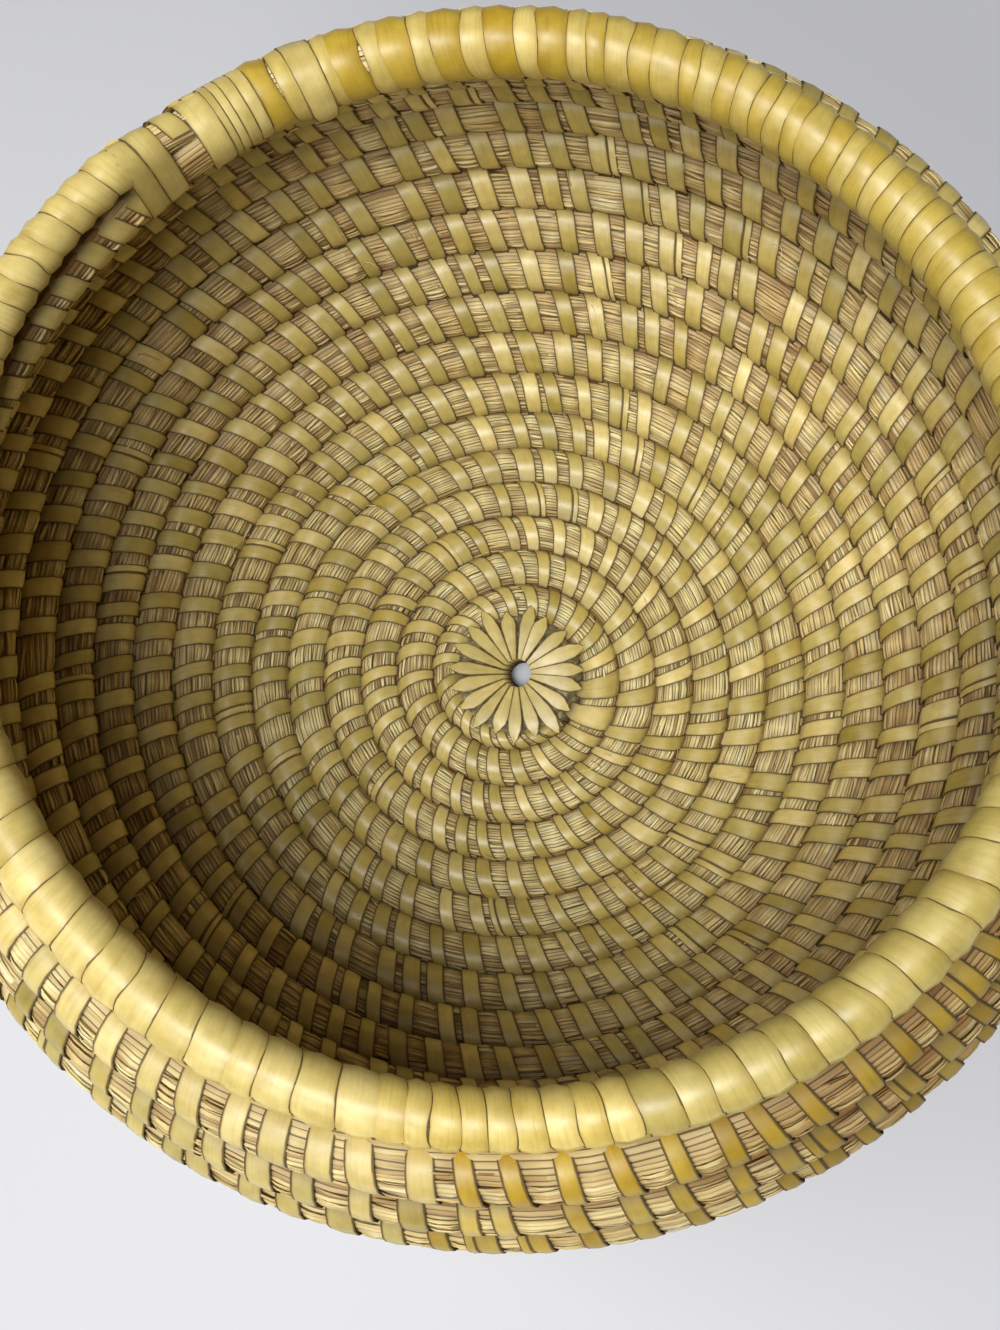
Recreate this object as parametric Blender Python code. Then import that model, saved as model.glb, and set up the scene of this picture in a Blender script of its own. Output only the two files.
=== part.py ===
"""Coiled grass basket with a drawn-in, closely wrapped rim.

One bundle of dried grass winds outward and up from a small ring in a single unbroken spiral and
ends in a thinned tail beside its own last row. Strips of palm leaf sew every row to the one before
it, make a rosette round the centre hole and cover the rim. Metres, +Z up, origin on the table under
the middle of the base. Seen from above, the spiral runs clockwise.
"""
import math

import bmesh
import bpy
import numpy as np
from mathutils import Vector
from mathutils.kdtree import KDTree

MM = 0.001

# The bowl's section, followed along the middle of the wall from the centre outward and up
FLOOR_RADIUS = 50.0 * MM
WALL_LENGTH = 140.0 * MM
WALL_PLACE_SHARES = (0.0, 0.07, 0.16, 0.25, 0.33, 0.43, 0.54, 0.64, 0.75, 0.86, 1.0)
WALL_SLOPE_DEGREES = (0, 22, 38, 49, 57, 63, 75, 90, 114, 127, 122)

# The grass bundle, thinner on the floor than on the wall
FLOOR_ROW_PITCH = 8.4 * MM
WALL_ROW_PITCH = 10.0 * MM
FLOOR_TURNS = 4
WALL_TURNS = 7
POINTS_PER_TURN = 24
START_DEGREES = -45
START_ROW_WIDTH = 1.7 * MM
ROW_GAP = 0.6 * MM
BASE_CUT_SHARE = 0.1

# The ring that the work starts on, and the rosette of strips round it
CENTRE_HOLE_RADIUS = 3.2 * MM
ROSETTE_RADIUS = 14.4 * MM
PETAL_COUNT = 19
PETAL_WIDTH = 3.4 * MM
STRIP_THICKNESS = 0.7 * MM

# The rim and its tail, in the room that the last full row leaves at the wall's end
RIM_CORE_RADIUS = 5.0 * MM
RIM_ROOM_SHARE = 1.5
RIM_WRAP_THIN = 0.5 * MM
RIM_WRAP_THICK = 1.0 * MM
RIM_TURNS = 1
RIM_WRAPS_PER_SIDE = 4
TAIL_SIDES = 4
TAIL_TIP_SHARE = 0.5
JOINING_SIDES = 1
JOINING_STRIPS = 3
JOINING_STRIP_WIDTH = 5.6 * MM
JOINING_STRIP_REACH_SHARE = 0.55
RIM_STRIPS = (
    ("rim_wrap_gold", 3, (0.67, 0.43, 0.08)),
    ("rim_wrap_olive", 5, (0.55, 0.47, 0.17)),
    ("rim_wrap_pale", 6, (0.66, 0.58, 0.31)),
    ("rim_wrap_cream", 5, (0.74, 0.67, 0.43)),
    ("rim_wrap_tail", 3, (0.62, 0.55, 0.26)),
)

# Room between pieces that touch on the real basket
CLEARANCE = 0.3 * MM

BUNDLE_SIDES = 6
HEXAGON_FLAT = math.cos(math.radians(30))
HEXAGON_HALF_SIDE = math.sin(math.radians(30))
OCTAGON_FLAT = math.cos(math.radians(22.5))


def clear_scene():
    for item in list(bpy.data.objects):
        bpy.data.objects.remove(item)


def material(name, colour, roughness):
    made = bpy.data.materials.new(name)
    made.use_nodes = True
    shader = made.node_tree.nodes["Principled BSDF"]
    shader.inputs["Base Color"].default_value = (*colour, 1.0)
    shader.inputs["Roughness"].default_value = roughness
    shader.inputs["Metallic"].default_value = 0.0
    return made


def finish_mesh(name, shape, colour, roughness):
    """Turns a bmesh into a named object with its own material."""
    mesh = bpy.data.meshes.new(name)
    shape.to_mesh(mesh)
    shape.free()
    mesh.shade_smooth()
    mesh.set_sharp_from_angle(angle=math.radians(65))
    mesh.materials.append(material(name, colour, roughness))
    made = bpy.data.objects.new(name, mesh)
    bpy.context.collection.objects.link(made)
    return made


def face_outward(shape):
    """Turns every face of a closed shape outward."""
    bmesh.ops.recalc_face_normals(shape, faces=shape.faces)
    if shape.calc_volume(signed=True) < 0:
        bmesh.ops.reverse_faces(shape, faces=shape.faces)


# The bowl's section: radius, height and slope at any length along it
PATH = np.linspace(0.0, FLOOR_RADIUS + WALL_LENGTH, 800)
SLOPE = np.radians(
    np.interp(PATH, FLOOR_RADIUS + WALL_LENGTH * np.array(WALL_PLACE_SHARES), WALL_SLOPE_DEGREES)
)
STEP = PATH[1] - PATH[0]
MIDDLE_SLOPE = (SLOPE[1:] + SLOPE[:-1]) / 2
PATH_RADIUS = np.concatenate([[0.0], np.cumsum(np.cos(MIDDLE_SLOPE)) * STEP])
PATH_HEIGHT = np.concatenate([[0.0], np.cumsum(np.sin(MIDDLE_SLOPE)) * STEP])


def slope_at(length):
    return float(np.interp(length, PATH, SLOPE))


def row_pitch(turns):
    share = min(max((turns - FLOOR_TURNS) / (WALL_TURNS - FLOOR_TURNS), 0.0), 1.0)
    return FLOOR_ROW_PITCH + (WALL_ROW_PITCH - FLOOR_ROW_PITCH) * share


def row_edge(turns):
    """Length along the section to the outer edge of the row, after this many turns."""
    rise = min(max(turns - FLOOR_TURNS, 0.0), WALL_TURNS - FLOOR_TURNS)
    wall = max(turns - WALL_TURNS, 0.0)
    floor_part = FLOOR_ROW_PITCH * min(turns, FLOOR_TURNS)
    rise_part = rise * (FLOOR_ROW_PITCH + row_pitch(FLOOR_TURNS + rise)) / 2
    return ROSETTE_RADIUS + START_ROW_WIDTH + floor_part + rise_part + wall * WALL_ROW_PITCH


def points_up_to(edge):
    """Points along the spiral before its outer edge passes this length along the section."""
    index = 0
    while row_edge((index + 1) / POINTS_PER_TURN) <= edge:
        index += 1
    return index


BASE_HEIGHT = (FLOOR_ROW_PITCH - ROW_GAP) / 2 / HEXAGON_FLAT * (1 - 2 * BASE_CUT_SHARE)
BODY_POINTS = points_up_to(FLOOR_RADIUS + WALL_LENGTH - RIM_CORE_RADIUS * RIM_ROOM_SHARE)
RIM_POINTS = RIM_TURNS * POINTS_PER_TURN + JOINING_SIDES


def rim_thickness_share(index):
    """1 along the rim, falling over the tail to its thin tip."""
    left = BODY_POINTS + RIM_POINTS - index
    return TAIL_TIP_SHARE + (1 - TAIL_TIP_SHARE) * min(left / TAIL_SIDES, 1.0)


def wrap_radius(core_radius, thickness):
    """Corner radius of the eight-sided wrap whose bore clears a bundle of this radius."""
    return (core_radius + CLEARANCE) / OCTAGON_FLAT + thickness


def coil_station(index):
    """Centre of the bundle, its radius, and the section's directions, at one point of the spiral."""
    turns = index / POINTS_PER_TURN
    inner = max(ROSETTE_RADIUS, row_edge(turns - 1))
    outer = row_edge(turns)
    if index > BODY_POINTS:
        radius = RIM_CORE_RADIUS * rim_thickness_share(index)
        below = coil_station(index - POINTS_PER_TURN)
        reach = wrap_radius(radius, RIM_WRAP_THICK) * OCTAGON_FLAT
        length = below["length"] + below["radius"] * HEXAGON_FLAT + CLEARANCE + reach
    else:
        turn_angle = slope_at(outer) - slope_at(inner)
        reach = HEXAGON_FLAT * math.cos(turn_angle / 2) + HEXAGON_HALF_SIDE * math.sin(turn_angle / 2)
        radius = (outer - inner - ROW_GAP) / 2 / reach
        length = (inner + outer) / 2
    slope = slope_at(length)
    angle = math.radians(START_DEGREES) - 2 * math.pi * turns
    outward = Vector((math.cos(angle), math.sin(angle), 0.0))
    up = Vector((0.0, 0.0, 1.0))
    centre = outward * float(np.interp(length, PATH, PATH_RADIUS))
    centre.z = BASE_HEIGHT + float(np.interp(length, PATH, PATH_HEIGHT))
    return {
        "centre": centre,
        "radius": radius,
        "length": length,
        "slope": slope,
        "inside": up * math.cos(slope) - outward * math.sin(slope),
        "across": outward * math.cos(slope) + up * math.sin(slope),
    }


STATIONS = [coil_station(index) for index in range(BODY_POINTS + RIM_POINTS + 1)]


def coil_frame(position):
    """The bundle's centre, radius and directions at a place counted in points along the spiral."""
    index = min(int(position), len(STATIONS) - 2)
    share = position - index
    first, second = STATIONS[index], STATIONS[index + 1]
    along = (second["centre"] - first["centre"]).normalized()
    inside = first["inside"].lerp(second["inside"], share)
    inside = (inside - along * inside.dot(along)).normalized()
    across = first["across"].lerp(second["across"], share)
    across = (across - along * across.dot(along) - inside * across.dot(inside)).normalized()
    return {
        "centre": first["centre"].lerp(second["centre"], share),
        "radius": first["radius"] + (second["radius"] - first["radius"]) * share,
        "along": along,
        "inside": inside,
        "across": across,
        "slope": first["slope"] + (second["slope"] - first["slope"]) * share,
    }


def tube(stations, resolution, turn):
    """A closed tube through stations of place, radius and slope, its corners turned with the wall."""
    curve = bpy.data.curves.new("tube_path", "CURVE")
    curve.dimensions = "3D"
    curve.twist_mode = "Z_UP"
    curve.bevel_depth = 1.0
    curve.bevel_resolution = resolution
    curve.use_fill_caps = True
    spline = curve.splines.new("POLY")
    spline.points.add(len(stations) - 1)
    for point, (centre, radius, slope) in zip(spline.points, stations):
        point.co = (*centre, 1.0)
        point.radius = radius
        point.tilt = turn + slope
    guide = bpy.data.objects.new("tube_path", curve)
    bpy.context.collection.objects.link(guide)
    evaluated = guide.evaluated_get(bpy.context.evaluated_depsgraph_get())
    shape = bmesh.new()
    shape.from_mesh(bpy.data.meshes.new_from_object(evaluated))
    bpy.data.objects.remove(guide)
    bmesh.ops.remove_doubles(shape, verts=shape.verts, dist=CLEARANCE / 100)
    face_outward(shape)
    return shape


def add_cut(target, name, shape):
    """Takes a hidden cutter's shape out of an object."""
    mesh = bpy.data.meshes.new(name)
    shape.to_mesh(mesh)
    shape.free()
    cutter = bpy.data.objects.new(name, mesh)
    cutter.hide_render = True
    cutter.display_type = "WIRE"
    bpy.context.collection.objects.link(cutter)
    cut = target.modifiers.new(name, "BOOLEAN")
    cut.operation = "DIFFERENCE"
    cut.solver = "EXACT"
    cut.object = cutter


def build_grass_coil():
    """The whole bundle as one tube on the spiral, cut flat where it stands on the table."""
    stations = [(station["centre"], station["radius"], station["slope"]) for station in STATIONS]
    shape = tube(stations, 1, math.radians(30))
    print_least_gap(shape)
    coil = finish_mesh("grass_coil", shape, (0.62, 0.47, 0.26), 0.75)
    reach = 2 * (FLOOR_RADIUS + WALL_LENGTH)
    below_table = bmesh.new()
    bmesh.ops.create_cube(below_table, size=reach)
    bmesh.ops.translate(below_table, vec=(0.0, 0.0, -reach / 2), verts=below_table.verts)
    add_cut(coil, "below_table", below_table)


def print_least_gap(shape):
    """Least distance between rows, measured from each corner of the tube to the other turns."""
    tree = KDTree(len(shape.verts))
    for vertex in shape.verts:
        tree.insert(vertex.co, vertex.index)
    tree.balance()
    least = min(
        distance
        for vertex in shape.verts
        for _, index, distance in tree.find_n(vertex.co, 2 * BUNDLE_SIDES)
        if abs(index - vertex.index) > BUNDLE_SIDES * POINTS_PER_TURN / 2
    )
    print(f"grass_coil: least gap between its rows {least / MM:.2f} mm")


def closed_loop(shape, places):
    """A closed loop of edges through these places."""
    corners = [shape.verts.new(place) for place in places]
    return [shape.edges.new(pair) for pair in zip(corners, corners[1:] + corners[:1])]


def bridge(shape, loops):
    for first, second in zip(loops, loops[1:]):
        bmesh.ops.bridge_loops(shape, edges=first + second)


def ring_section():
    """Inner, outer and half width of the start ring, from the hole's strips out to the first row."""
    inner = CENTRE_HOLE_RADIUS + STRIP_THICKNESS + CLEARANCE
    outer = ROSETTE_RADIUS - CLEARANCE
    return inner, outer, (outer - inner) / 2


def build_start_ring():
    """The small closed ring of grass that the first strips are wound round."""
    inner, outer, half = ring_section()
    shape = bmesh.new()
    corners = []
    for corner in range(BUNDLE_SIDES):
        angle = 2 * math.pi * corner / BUNDLE_SIDES
        height = BASE_HEIGHT * (1 + math.sin(angle) / HEXAGON_FLAT)
        corners.append(((inner + outer) / 2 + half * math.cos(angle), 0.0, height))
    profile = closed_loop(shape, corners)
    bmesh.ops.spin(
        shape,
        geom=list(shape.verts) + profile,
        axis=(0.0, 0.0, 1.0),
        angle=2 * math.pi,
        steps=POINTS_PER_TURN,
        use_merge=True,
    )
    face_outward(shape)
    finish_mesh("start_ring", shape, (0.58, 0.44, 0.24), 0.75)


def build_centre_rosette():
    """The first strip, wound through the hole: it overlaps there and spreads into leaf-shaped petals."""
    inner, outer, half = ring_section()
    top = 2 * BASE_HEIGHT + CLEARANCE
    middle = BASE_HEIGHT
    side_step = CLEARANCE / HEXAGON_FLAT * HEXAGON_HALF_SIDE
    pitch = math.pi / PETAL_COUNT
    places = (
        (inner - CLEARANCE, middle, pitch),
        (inner + half / 2 - side_step, top, pitch),
        (inner + half, top, None),
        (outer - half / 2 + side_step, top, None),
        (outer - half / 8 + CLEARANCE, (top + middle) / 2, None),
    )
    widths = (None, None, PETAL_WIDTH * 0.8, PETAL_WIDTH, PETAL_WIDTH * 0.3)
    shape = bmesh.new()
    for petal in range(PETAL_COUNT):
        middle_angle = 2 * pitch * petal
        pairs = []
        for (radius, height, half_angle), width in zip(places, widths):
            spread = half_angle or width / 2 / radius
            pair = []
            for angle in (middle_angle - spread, middle_angle + spread):
                pair.append(shape.verts.new((radius * math.cos(angle), radius * math.sin(angle), height)))
            pairs.append(pair)
        for (left, right), (next_left, next_right) in zip(pairs, pairs[1:]):
            shape.faces.new((left, next_left, next_right, right))
    bmesh.ops.remove_doubles(shape, verts=shape.verts, dist=CLEARANCE / 100)
    rosette = finish_mesh("centre_rosette", shape, (0.66, 0.58, 0.28), 0.5)
    thickness = rosette.modifiers.new("strip_thickness", "SOLIDIFY")
    thickness.thickness = STRIP_THICKNESS
    thickness.offset = 1.0
    thickness.use_even_offset = True


def build_rim_wraps():
    """Strips wound closely round the rim, the edge of each wrap lying over the wrap before."""
    start = BODY_POINTS + JOINING_SIDES + 0.5
    turn = math.radians(22.5)
    for name, sides, colour in RIM_STRIPS:
        end = start + sides
        wraps = []
        for wrap in range(sides * RIM_WRAPS_PER_SIDE):
            first = coil_frame(start + wrap / RIM_WRAPS_PER_SIDE)
            last = coil_frame(start + (wrap + 1) / RIM_WRAPS_PER_SIDE)
            edge = last["centre"] - last["along"] * RIM_WRAP_THIN / 2
            wraps.append((first["centre"], wrap_radius(first["radius"], RIM_WRAP_THICK), first["slope"]))
            wraps.append((edge, wrap_radius(last["radius"], RIM_WRAP_THIN), last["slope"]))
        rim = finish_mesh(name, tube(wraps, 2, turn), colour, 0.35)
        corners = [start, *range(math.ceil(start), math.ceil(end)), end]
        bore = [coil_frame(position) for position in corners]
        stations = [(place["centre"], wrap_radius(place["radius"], 0.0), place["slope"]) for place in bore]
        before = bore[0]["centre"] - bore[0]["along"] * RIM_CORE_RADIUS
        after = bore[-1]["centre"] + bore[-1]["along"] * RIM_CORE_RADIUS
        stations.insert(0, (before, *stations[0][1:]))
        stations.append((after, *stations[-1][1:]))
        add_cut(rim, name + "_bore", tube(stations, 2, turn))
        start = end


def build_joining_strips():
    """Broad strips that bind the rim's thin tail to the row it lies on, open towards the row below."""
    chord = (STATIONS[BODY_POINTS + 1]["centre"] - STATIONS[BODY_POINTS]["centre"]).length
    for strip in range(JOINING_STRIPS):
        middle = BODY_POINTS + (strip + 0.5) * JOINING_SIDES / JOINING_STRIPS
        shape = bmesh.new()
        loops = []
        for step in range(8):
            ring = []
            for lift, sign in ((0, -1), (0, 1), (1, 1), (1, -1)):
                position = middle + sign * JOINING_STRIP_WIDTH / 2 / chord
                row = coil_frame(position)
                tail = coil_frame(position + POINTS_PER_TURN)
                out = CLEARANCE / HEXAGON_FLAT + lift * STRIP_THICKNESS
                ring.append(joining_path(row, tail, out)[step])
            loops.append(closed_loop(shape, ring))
        bridge(shape, loops)
        bmesh.ops.edgeloop_fill(shape, edges=loops[0])
        bmesh.ops.edgeloop_fill(shape, edges=loops[-1])
        face_outward(shape)
        finish_mesh(f"joining_strip_{strip + 1}", shape, (0.65, 0.57, 0.27), 0.5)


def joining_path(row, tail, out):
    """Corners of a strip's path over the row's inner face, round the tail and down the outer face."""
    row_radius = row["radius"] + out
    tail_radius = tail["radius"] + out
    tail_side = tail["across"] * tail_radius * HEXAGON_FLAT
    tail_half = tail["inside"] * tail_radius * HEXAGON_HALF_SIDE
    crest = row["inside"] * row_radius
    edge = row["across"] * row_radius * HEXAGON_FLAT * JOINING_STRIP_REACH_SHARE
    drop = row["inside"] * row_radius * HEXAGON_HALF_SIDE * JOINING_STRIP_REACH_SHARE
    return [
        row["centre"] + crest - drop - edge,
        row["centre"] + crest,
        tail["centre"] + tail["inside"] * tail_radius,
        tail["centre"] + tail_side + tail_half,
        tail["centre"] + tail_side - tail_half,
        tail["centre"] - tail["inside"] * tail_radius,
        row["centre"] - crest,
        row["centre"] - crest + drop - edge,
    ]


clear_scene()
build_grass_coil()
build_start_ring()
build_centre_rosette()
build_rim_wraps()
build_joining_strips()
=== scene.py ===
import math

import bmesh
import bpy
import numpy as np
from mathutils import Matrix, Vector


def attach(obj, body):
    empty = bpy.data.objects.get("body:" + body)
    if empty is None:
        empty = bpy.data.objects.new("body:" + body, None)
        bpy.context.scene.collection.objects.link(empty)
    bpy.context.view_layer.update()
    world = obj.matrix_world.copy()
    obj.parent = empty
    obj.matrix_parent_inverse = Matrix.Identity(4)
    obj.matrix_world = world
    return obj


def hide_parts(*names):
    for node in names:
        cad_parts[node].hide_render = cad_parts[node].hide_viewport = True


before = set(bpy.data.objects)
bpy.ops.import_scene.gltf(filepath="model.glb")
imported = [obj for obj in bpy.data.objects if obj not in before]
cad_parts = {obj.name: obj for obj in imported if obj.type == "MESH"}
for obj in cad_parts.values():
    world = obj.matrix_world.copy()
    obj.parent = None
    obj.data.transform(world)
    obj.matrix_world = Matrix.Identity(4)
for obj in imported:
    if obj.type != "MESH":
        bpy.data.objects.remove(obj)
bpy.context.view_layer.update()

# Camera
# The photograph looks down into the bowl from a little below its middle, close enough that the
# left and right sides of the rim run out of the picture.
MM = 0.001
LENS_PLACE = Vector((3.1, -52.9, 275.5)) * MM
LOOKED_AT = Vector((0.0, 0.0, 3.6)) * MM
ROLL_DEGREES = -3.9
LENS_LENGTH = 32.48
SENSOR_WIDTH = 36.0
NEAREST_SEEN = 0.005
PHOTO_HEIGHT = 1330
# The frame's middle lies this far right of and above the point looked at, in the photograph's pixels
FRAME_OFFSET = (-17, 11)
forward = (LOOKED_AT - LENS_PLACE).normalized()
level_right = (Vector((1.0, 0.0, 0.0)) - forward * forward.x).normalized()
level_up = level_right.cross(forward)
roll = math.radians(ROLL_DEGREES)
right = level_right * math.cos(roll) + level_up * math.sin(roll)
up = level_up * math.cos(roll) - level_right * math.sin(roll)
camera_data = bpy.data.cameras.new("camera")
camera_data.lens = LENS_LENGTH
camera_data.sensor_width = SENSOR_WIDTH
camera_data.shift_x = FRAME_OFFSET[0] / PHOTO_HEIGHT
camera_data.shift_y = FRAME_OFFSET[1] / PHOTO_HEIGHT
camera_data.clip_start = NEAREST_SEEN
camera = bpy.data.objects.new("camera", camera_data)
turned = Matrix((right, up, -forward)).transposed().to_4x4()
camera.matrix_world = Matrix.Translation(LENS_PLACE) @ turned
bpy.context.scene.collection.objects.link(camera)
bpy.context.scene.camera = camera

# Table and light
# A plain pale tabletop that fades into a pale backdrop far from the basket. Soft square lamps hang
# over its left and near sides under a very weak sky, so that the bowl's left shades its own inside.
bpy.context.scene.view_settings.view_transform = "Standard"
TABLE_COLOUR = (0.66, 0.665, 0.70, 1.0)
BACKDROP = (0.80, 0.82, 0.88, 1.0)
WHITE = (1.0, 1.0, 1.0, 1.0)
TABLE_HALF_WIDTH = 4.0
TABLE_ROUGHNESS = 0.6
# Distances from the basket's middle between which the tabletop fades, in metres
FADE_START = 0.22
FADE_END = 0.80
# Place and size in metres, power in watts
LAMPS = (
    ("window_lamp", (-0.085, -0.282, 0.944), 0.35, 4.8),
    ("left_lamp", (-0.213, -0.123, 0.958), 0.35, 2.2),
    ("side_lamp", (-0.49, 0.12, 0.84), 0.35, 1.8),
    ("low_lamp", (-0.36, -0.61, 0.66), 0.35, 2.4),
    ("ceiling_lamp", (0.0, 0.0, 0.99), 0.5, 0.3),
)
LAMP_AIM = Vector((0.0, 0.0, 0.04))
SKY_STRENGTH = 0.025


def add_math(tree, operation, first, second=None):
    """A Math node fed by sockets or plain numbers."""
    node = tree.nodes.new("ShaderNodeMath")
    node.operation = operation
    for slot, value in zip(node.inputs, (first, second)):
        if value is None:
            continue
        if isinstance(value, (int, float)):
            slot.default_value = value
        else:
            tree.links.new(value, slot)
    return node.outputs[0]


def mix_shaders(tree, share, first, second, end):
    """Shows the second shader by this share, and the first by the rest."""
    mix = tree.nodes.new("ShaderNodeMixShader")
    for slot, source in zip(mix.inputs, (share, first.outputs[0], second.outputs[0])):
        tree.links.new(source, slot)
    tree.links.new(mix.outputs[0], tree.nodes[end].inputs["Surface"])


table_shape = bmesh.new()
bmesh.ops.create_grid(table_shape, x_segments=1, y_segments=1, size=TABLE_HALF_WIDTH)
table_mesh = bpy.data.meshes.new("table")
table_shape.to_mesh(table_mesh)
table_shape.free()
table = bpy.data.objects.new("table", table_mesh)
bpy.context.scene.collection.objects.link(table)
table_paint = bpy.data.materials.new("pale_table")
table_paint.use_nodes = True
table_tree = table_paint.node_tree
table_shader = table_tree.nodes["Principled BSDF"]
table_shader.inputs["Base Color"].default_value = TABLE_COLOUR
table_shader.inputs["Roughness"].default_value = TABLE_ROUGHNESS
far_glow = table_tree.nodes.new("ShaderNodeEmission")
far_glow.inputs["Color"].default_value = BACKDROP
table_place = table_tree.nodes.new("ShaderNodeTexCoord")
from_basket = table_tree.nodes.new("ShaderNodeVectorMath")
from_basket.operation = "LENGTH"
table_tree.links.new(table_place.outputs["Object"], from_basket.inputs[0])
fade = table_tree.nodes.new("ShaderNodeMapRange")
fade.interpolation_type = "SMOOTHSTEP"
fade.inputs["From Min"].default_value = FADE_START
fade.inputs["From Max"].default_value = FADE_END
table_tree.links.new(from_basket.outputs["Value"], fade.inputs["Value"])
table_ray = table_tree.nodes.new("ShaderNodeLightPath")
seen_fade = add_math(table_tree, "MULTIPLY", fade.outputs["Result"], table_ray.outputs["Is Camera Ray"])
mix_shaders(table_tree, seen_fade, table_shader, far_glow, "Material Output")
table_mesh.materials.append(table_paint)

for name, place, size, power in LAMPS:
    lamp_data = bpy.data.lights.new(name, "AREA")
    lamp_data.size = size
    lamp_data.energy = power
    lamp = bpy.data.objects.new(name, lamp_data)
    aim = (LAMP_AIM - Vector(place)).to_track_quat("-Z", "Y")
    lamp.matrix_world = Matrix.Translation(place) @ aim.to_matrix().to_4x4()
    bpy.context.scene.collection.objects.link(lamp)

sky = bpy.data.worlds.new("sky")
bpy.context.scene.world = sky
sky.use_nodes = True
sky_tree = sky.node_tree
sky_light = sky_tree.nodes["Background"]
sky_light.inputs["Color"].default_value = WHITE
sky_light.inputs["Strength"].default_value = SKY_STRENGTH
sky_seen = sky_tree.nodes.new("ShaderNodeBackground")
sky_seen.inputs["Color"].default_value = BACKDROP
sky_ray = sky_tree.nodes.new("ShaderNodeLightPath")
mix_shaders(sky_tree, sky_ray.outputs["Is Camera Ray"], sky_light, sky_seen, "World Output")

# Grass bundle
# One unbroken bundle of dried grass, as thick as a finger, wound in a spiral from the centre of the
# floor up the wall to the rim. Its stems lie side by side, swell between the sewing strips and are
# pinched in under them.
FLOOR_RADIUS = 50.0 * MM
WALL_LENGTH = 140.0 * MM
WALL_PLACE_SHARES = (0.0, 0.07, 0.16, 0.25, 0.33, 0.43, 0.54, 0.64, 0.75, 0.86, 1.0)
WALL_SLOPE_DEGREES = (0, 22, 38, 49, 57, 63, 75, 90, 114, 127, 122)
FLOOR_ROW_PITCH = 8.4 * MM
WALL_ROW_PITCH = 10.0 * MM
FLOOR_TURNS = 4
WALL_TURNS = 7
START_DEGREES = -45
START_ROW_WIDTH = 1.7 * MM
START_ROW_INNER = 13.2 * MM
START_RING_INNER = 5.5 * MM
ROSETTE_RADIUS = 14.4 * MM
BASE_HEIGHT = 3.603 * MM
LEAST_HEIGHT = 0.1 * MM
ROW_GAP = 0.05 * MM
WRAP_ROOM = 0.9 * MM
BUNDLE_FLATNESS = 0.95
LEAST_DEPTH = 3.3 * MM
# Places along the spiral, counted in turns from its start
BODY_END = 17.5
RIM_GROWTH = 0.06
TAIL_START = 18.375
TAIL_END = 18.55
RIM_REACH = 6.0 * MM
TAIL_REACH = 4.0 * MM
# The rim is thinner on the near side and in the tail, and leans inward on the right and near sides,
# by these mm at these turns
RIM_THINNED = (
    (17.52, 17.58, 17.74, 17.95, 18.00, 18.07, 18.125,
     18.24, 18.30, 18.38, 18.46, 18.486, 18.51, 18.55),
    (0.0, 0.4, 0.8, 0.9, 1.1, 1.3, 1.65, 1.25, 1.3, 0.9, 1.1, 1.2, 0.95, 0.55),
)
RIM_LEANED = (
    (17.66, 17.74, 17.90, 18.00, 18.07, 18.125, 18.24, 18.30, 18.40),
    (0.0, 1.6, 1.6, 1.4, 1.8, 2.3, 1.7, 1.5, 0.0),
)
# Where the rim closes on itself the row leans inward, the tail lies a little outside it and then
# sinks into the start of the rim
ROW_INWARD = 1.0 * MM
ROW_MOVED = ((17.38, 17.44, 17.50, 17.56), (0.0, 1.0, 1.0, 0.0))
TAIL_OUTWARD = 2.4 * MM
TAIL_MOVED = ((18.36, 18.45, 18.51, 18.56), (0.0, 1.0, 1.0, 0.2))
TAIL_LOWERED = 0.27
TAIL_SINKING = 5.5 * MM
TAIL_SUNK = ((18.51, 18.555), (0.0, 1.0))
path = np.linspace(0.0, FLOOR_RADIUS + WALL_LENGTH, 800)
path_slope = np.radians(
    np.interp(path, FLOOR_RADIUS + WALL_LENGTH * np.array(WALL_PLACE_SHARES), WALL_SLOPE_DEGREES)
)
middle_slope = (path_slope[1:] + path_slope[:-1]) / 2
path_step = path[1] - path[0]
path_radius = np.concatenate([[0.0], np.cumsum(np.cos(middle_slope)) * path_step])
path_height = np.concatenate([[0.0], np.cumsum(np.sin(middle_slope)) * path_step])


def row_edge(turns):
    """Length along the wall's section to the outer edge of the row after this many turns."""
    rise = np.clip(turns - FLOOR_TURNS, 0.0, WALL_TURNS - FLOOR_TURNS)
    wall = np.clip(turns - WALL_TURNS, 0.0, None)
    grown = (WALL_ROW_PITCH - FLOOR_ROW_PITCH) * rise / (WALL_TURNS - FLOOR_TURNS)
    floor_part = FLOOR_ROW_PITCH * np.minimum(turns, FLOOR_TURNS)
    rise_part = rise * (FLOOR_ROW_PITCH + grown / 2)
    return ROSETTE_RADIUS + START_ROW_WIDTH + floor_part + rise_part + wall * WALL_ROW_PITCH


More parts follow.
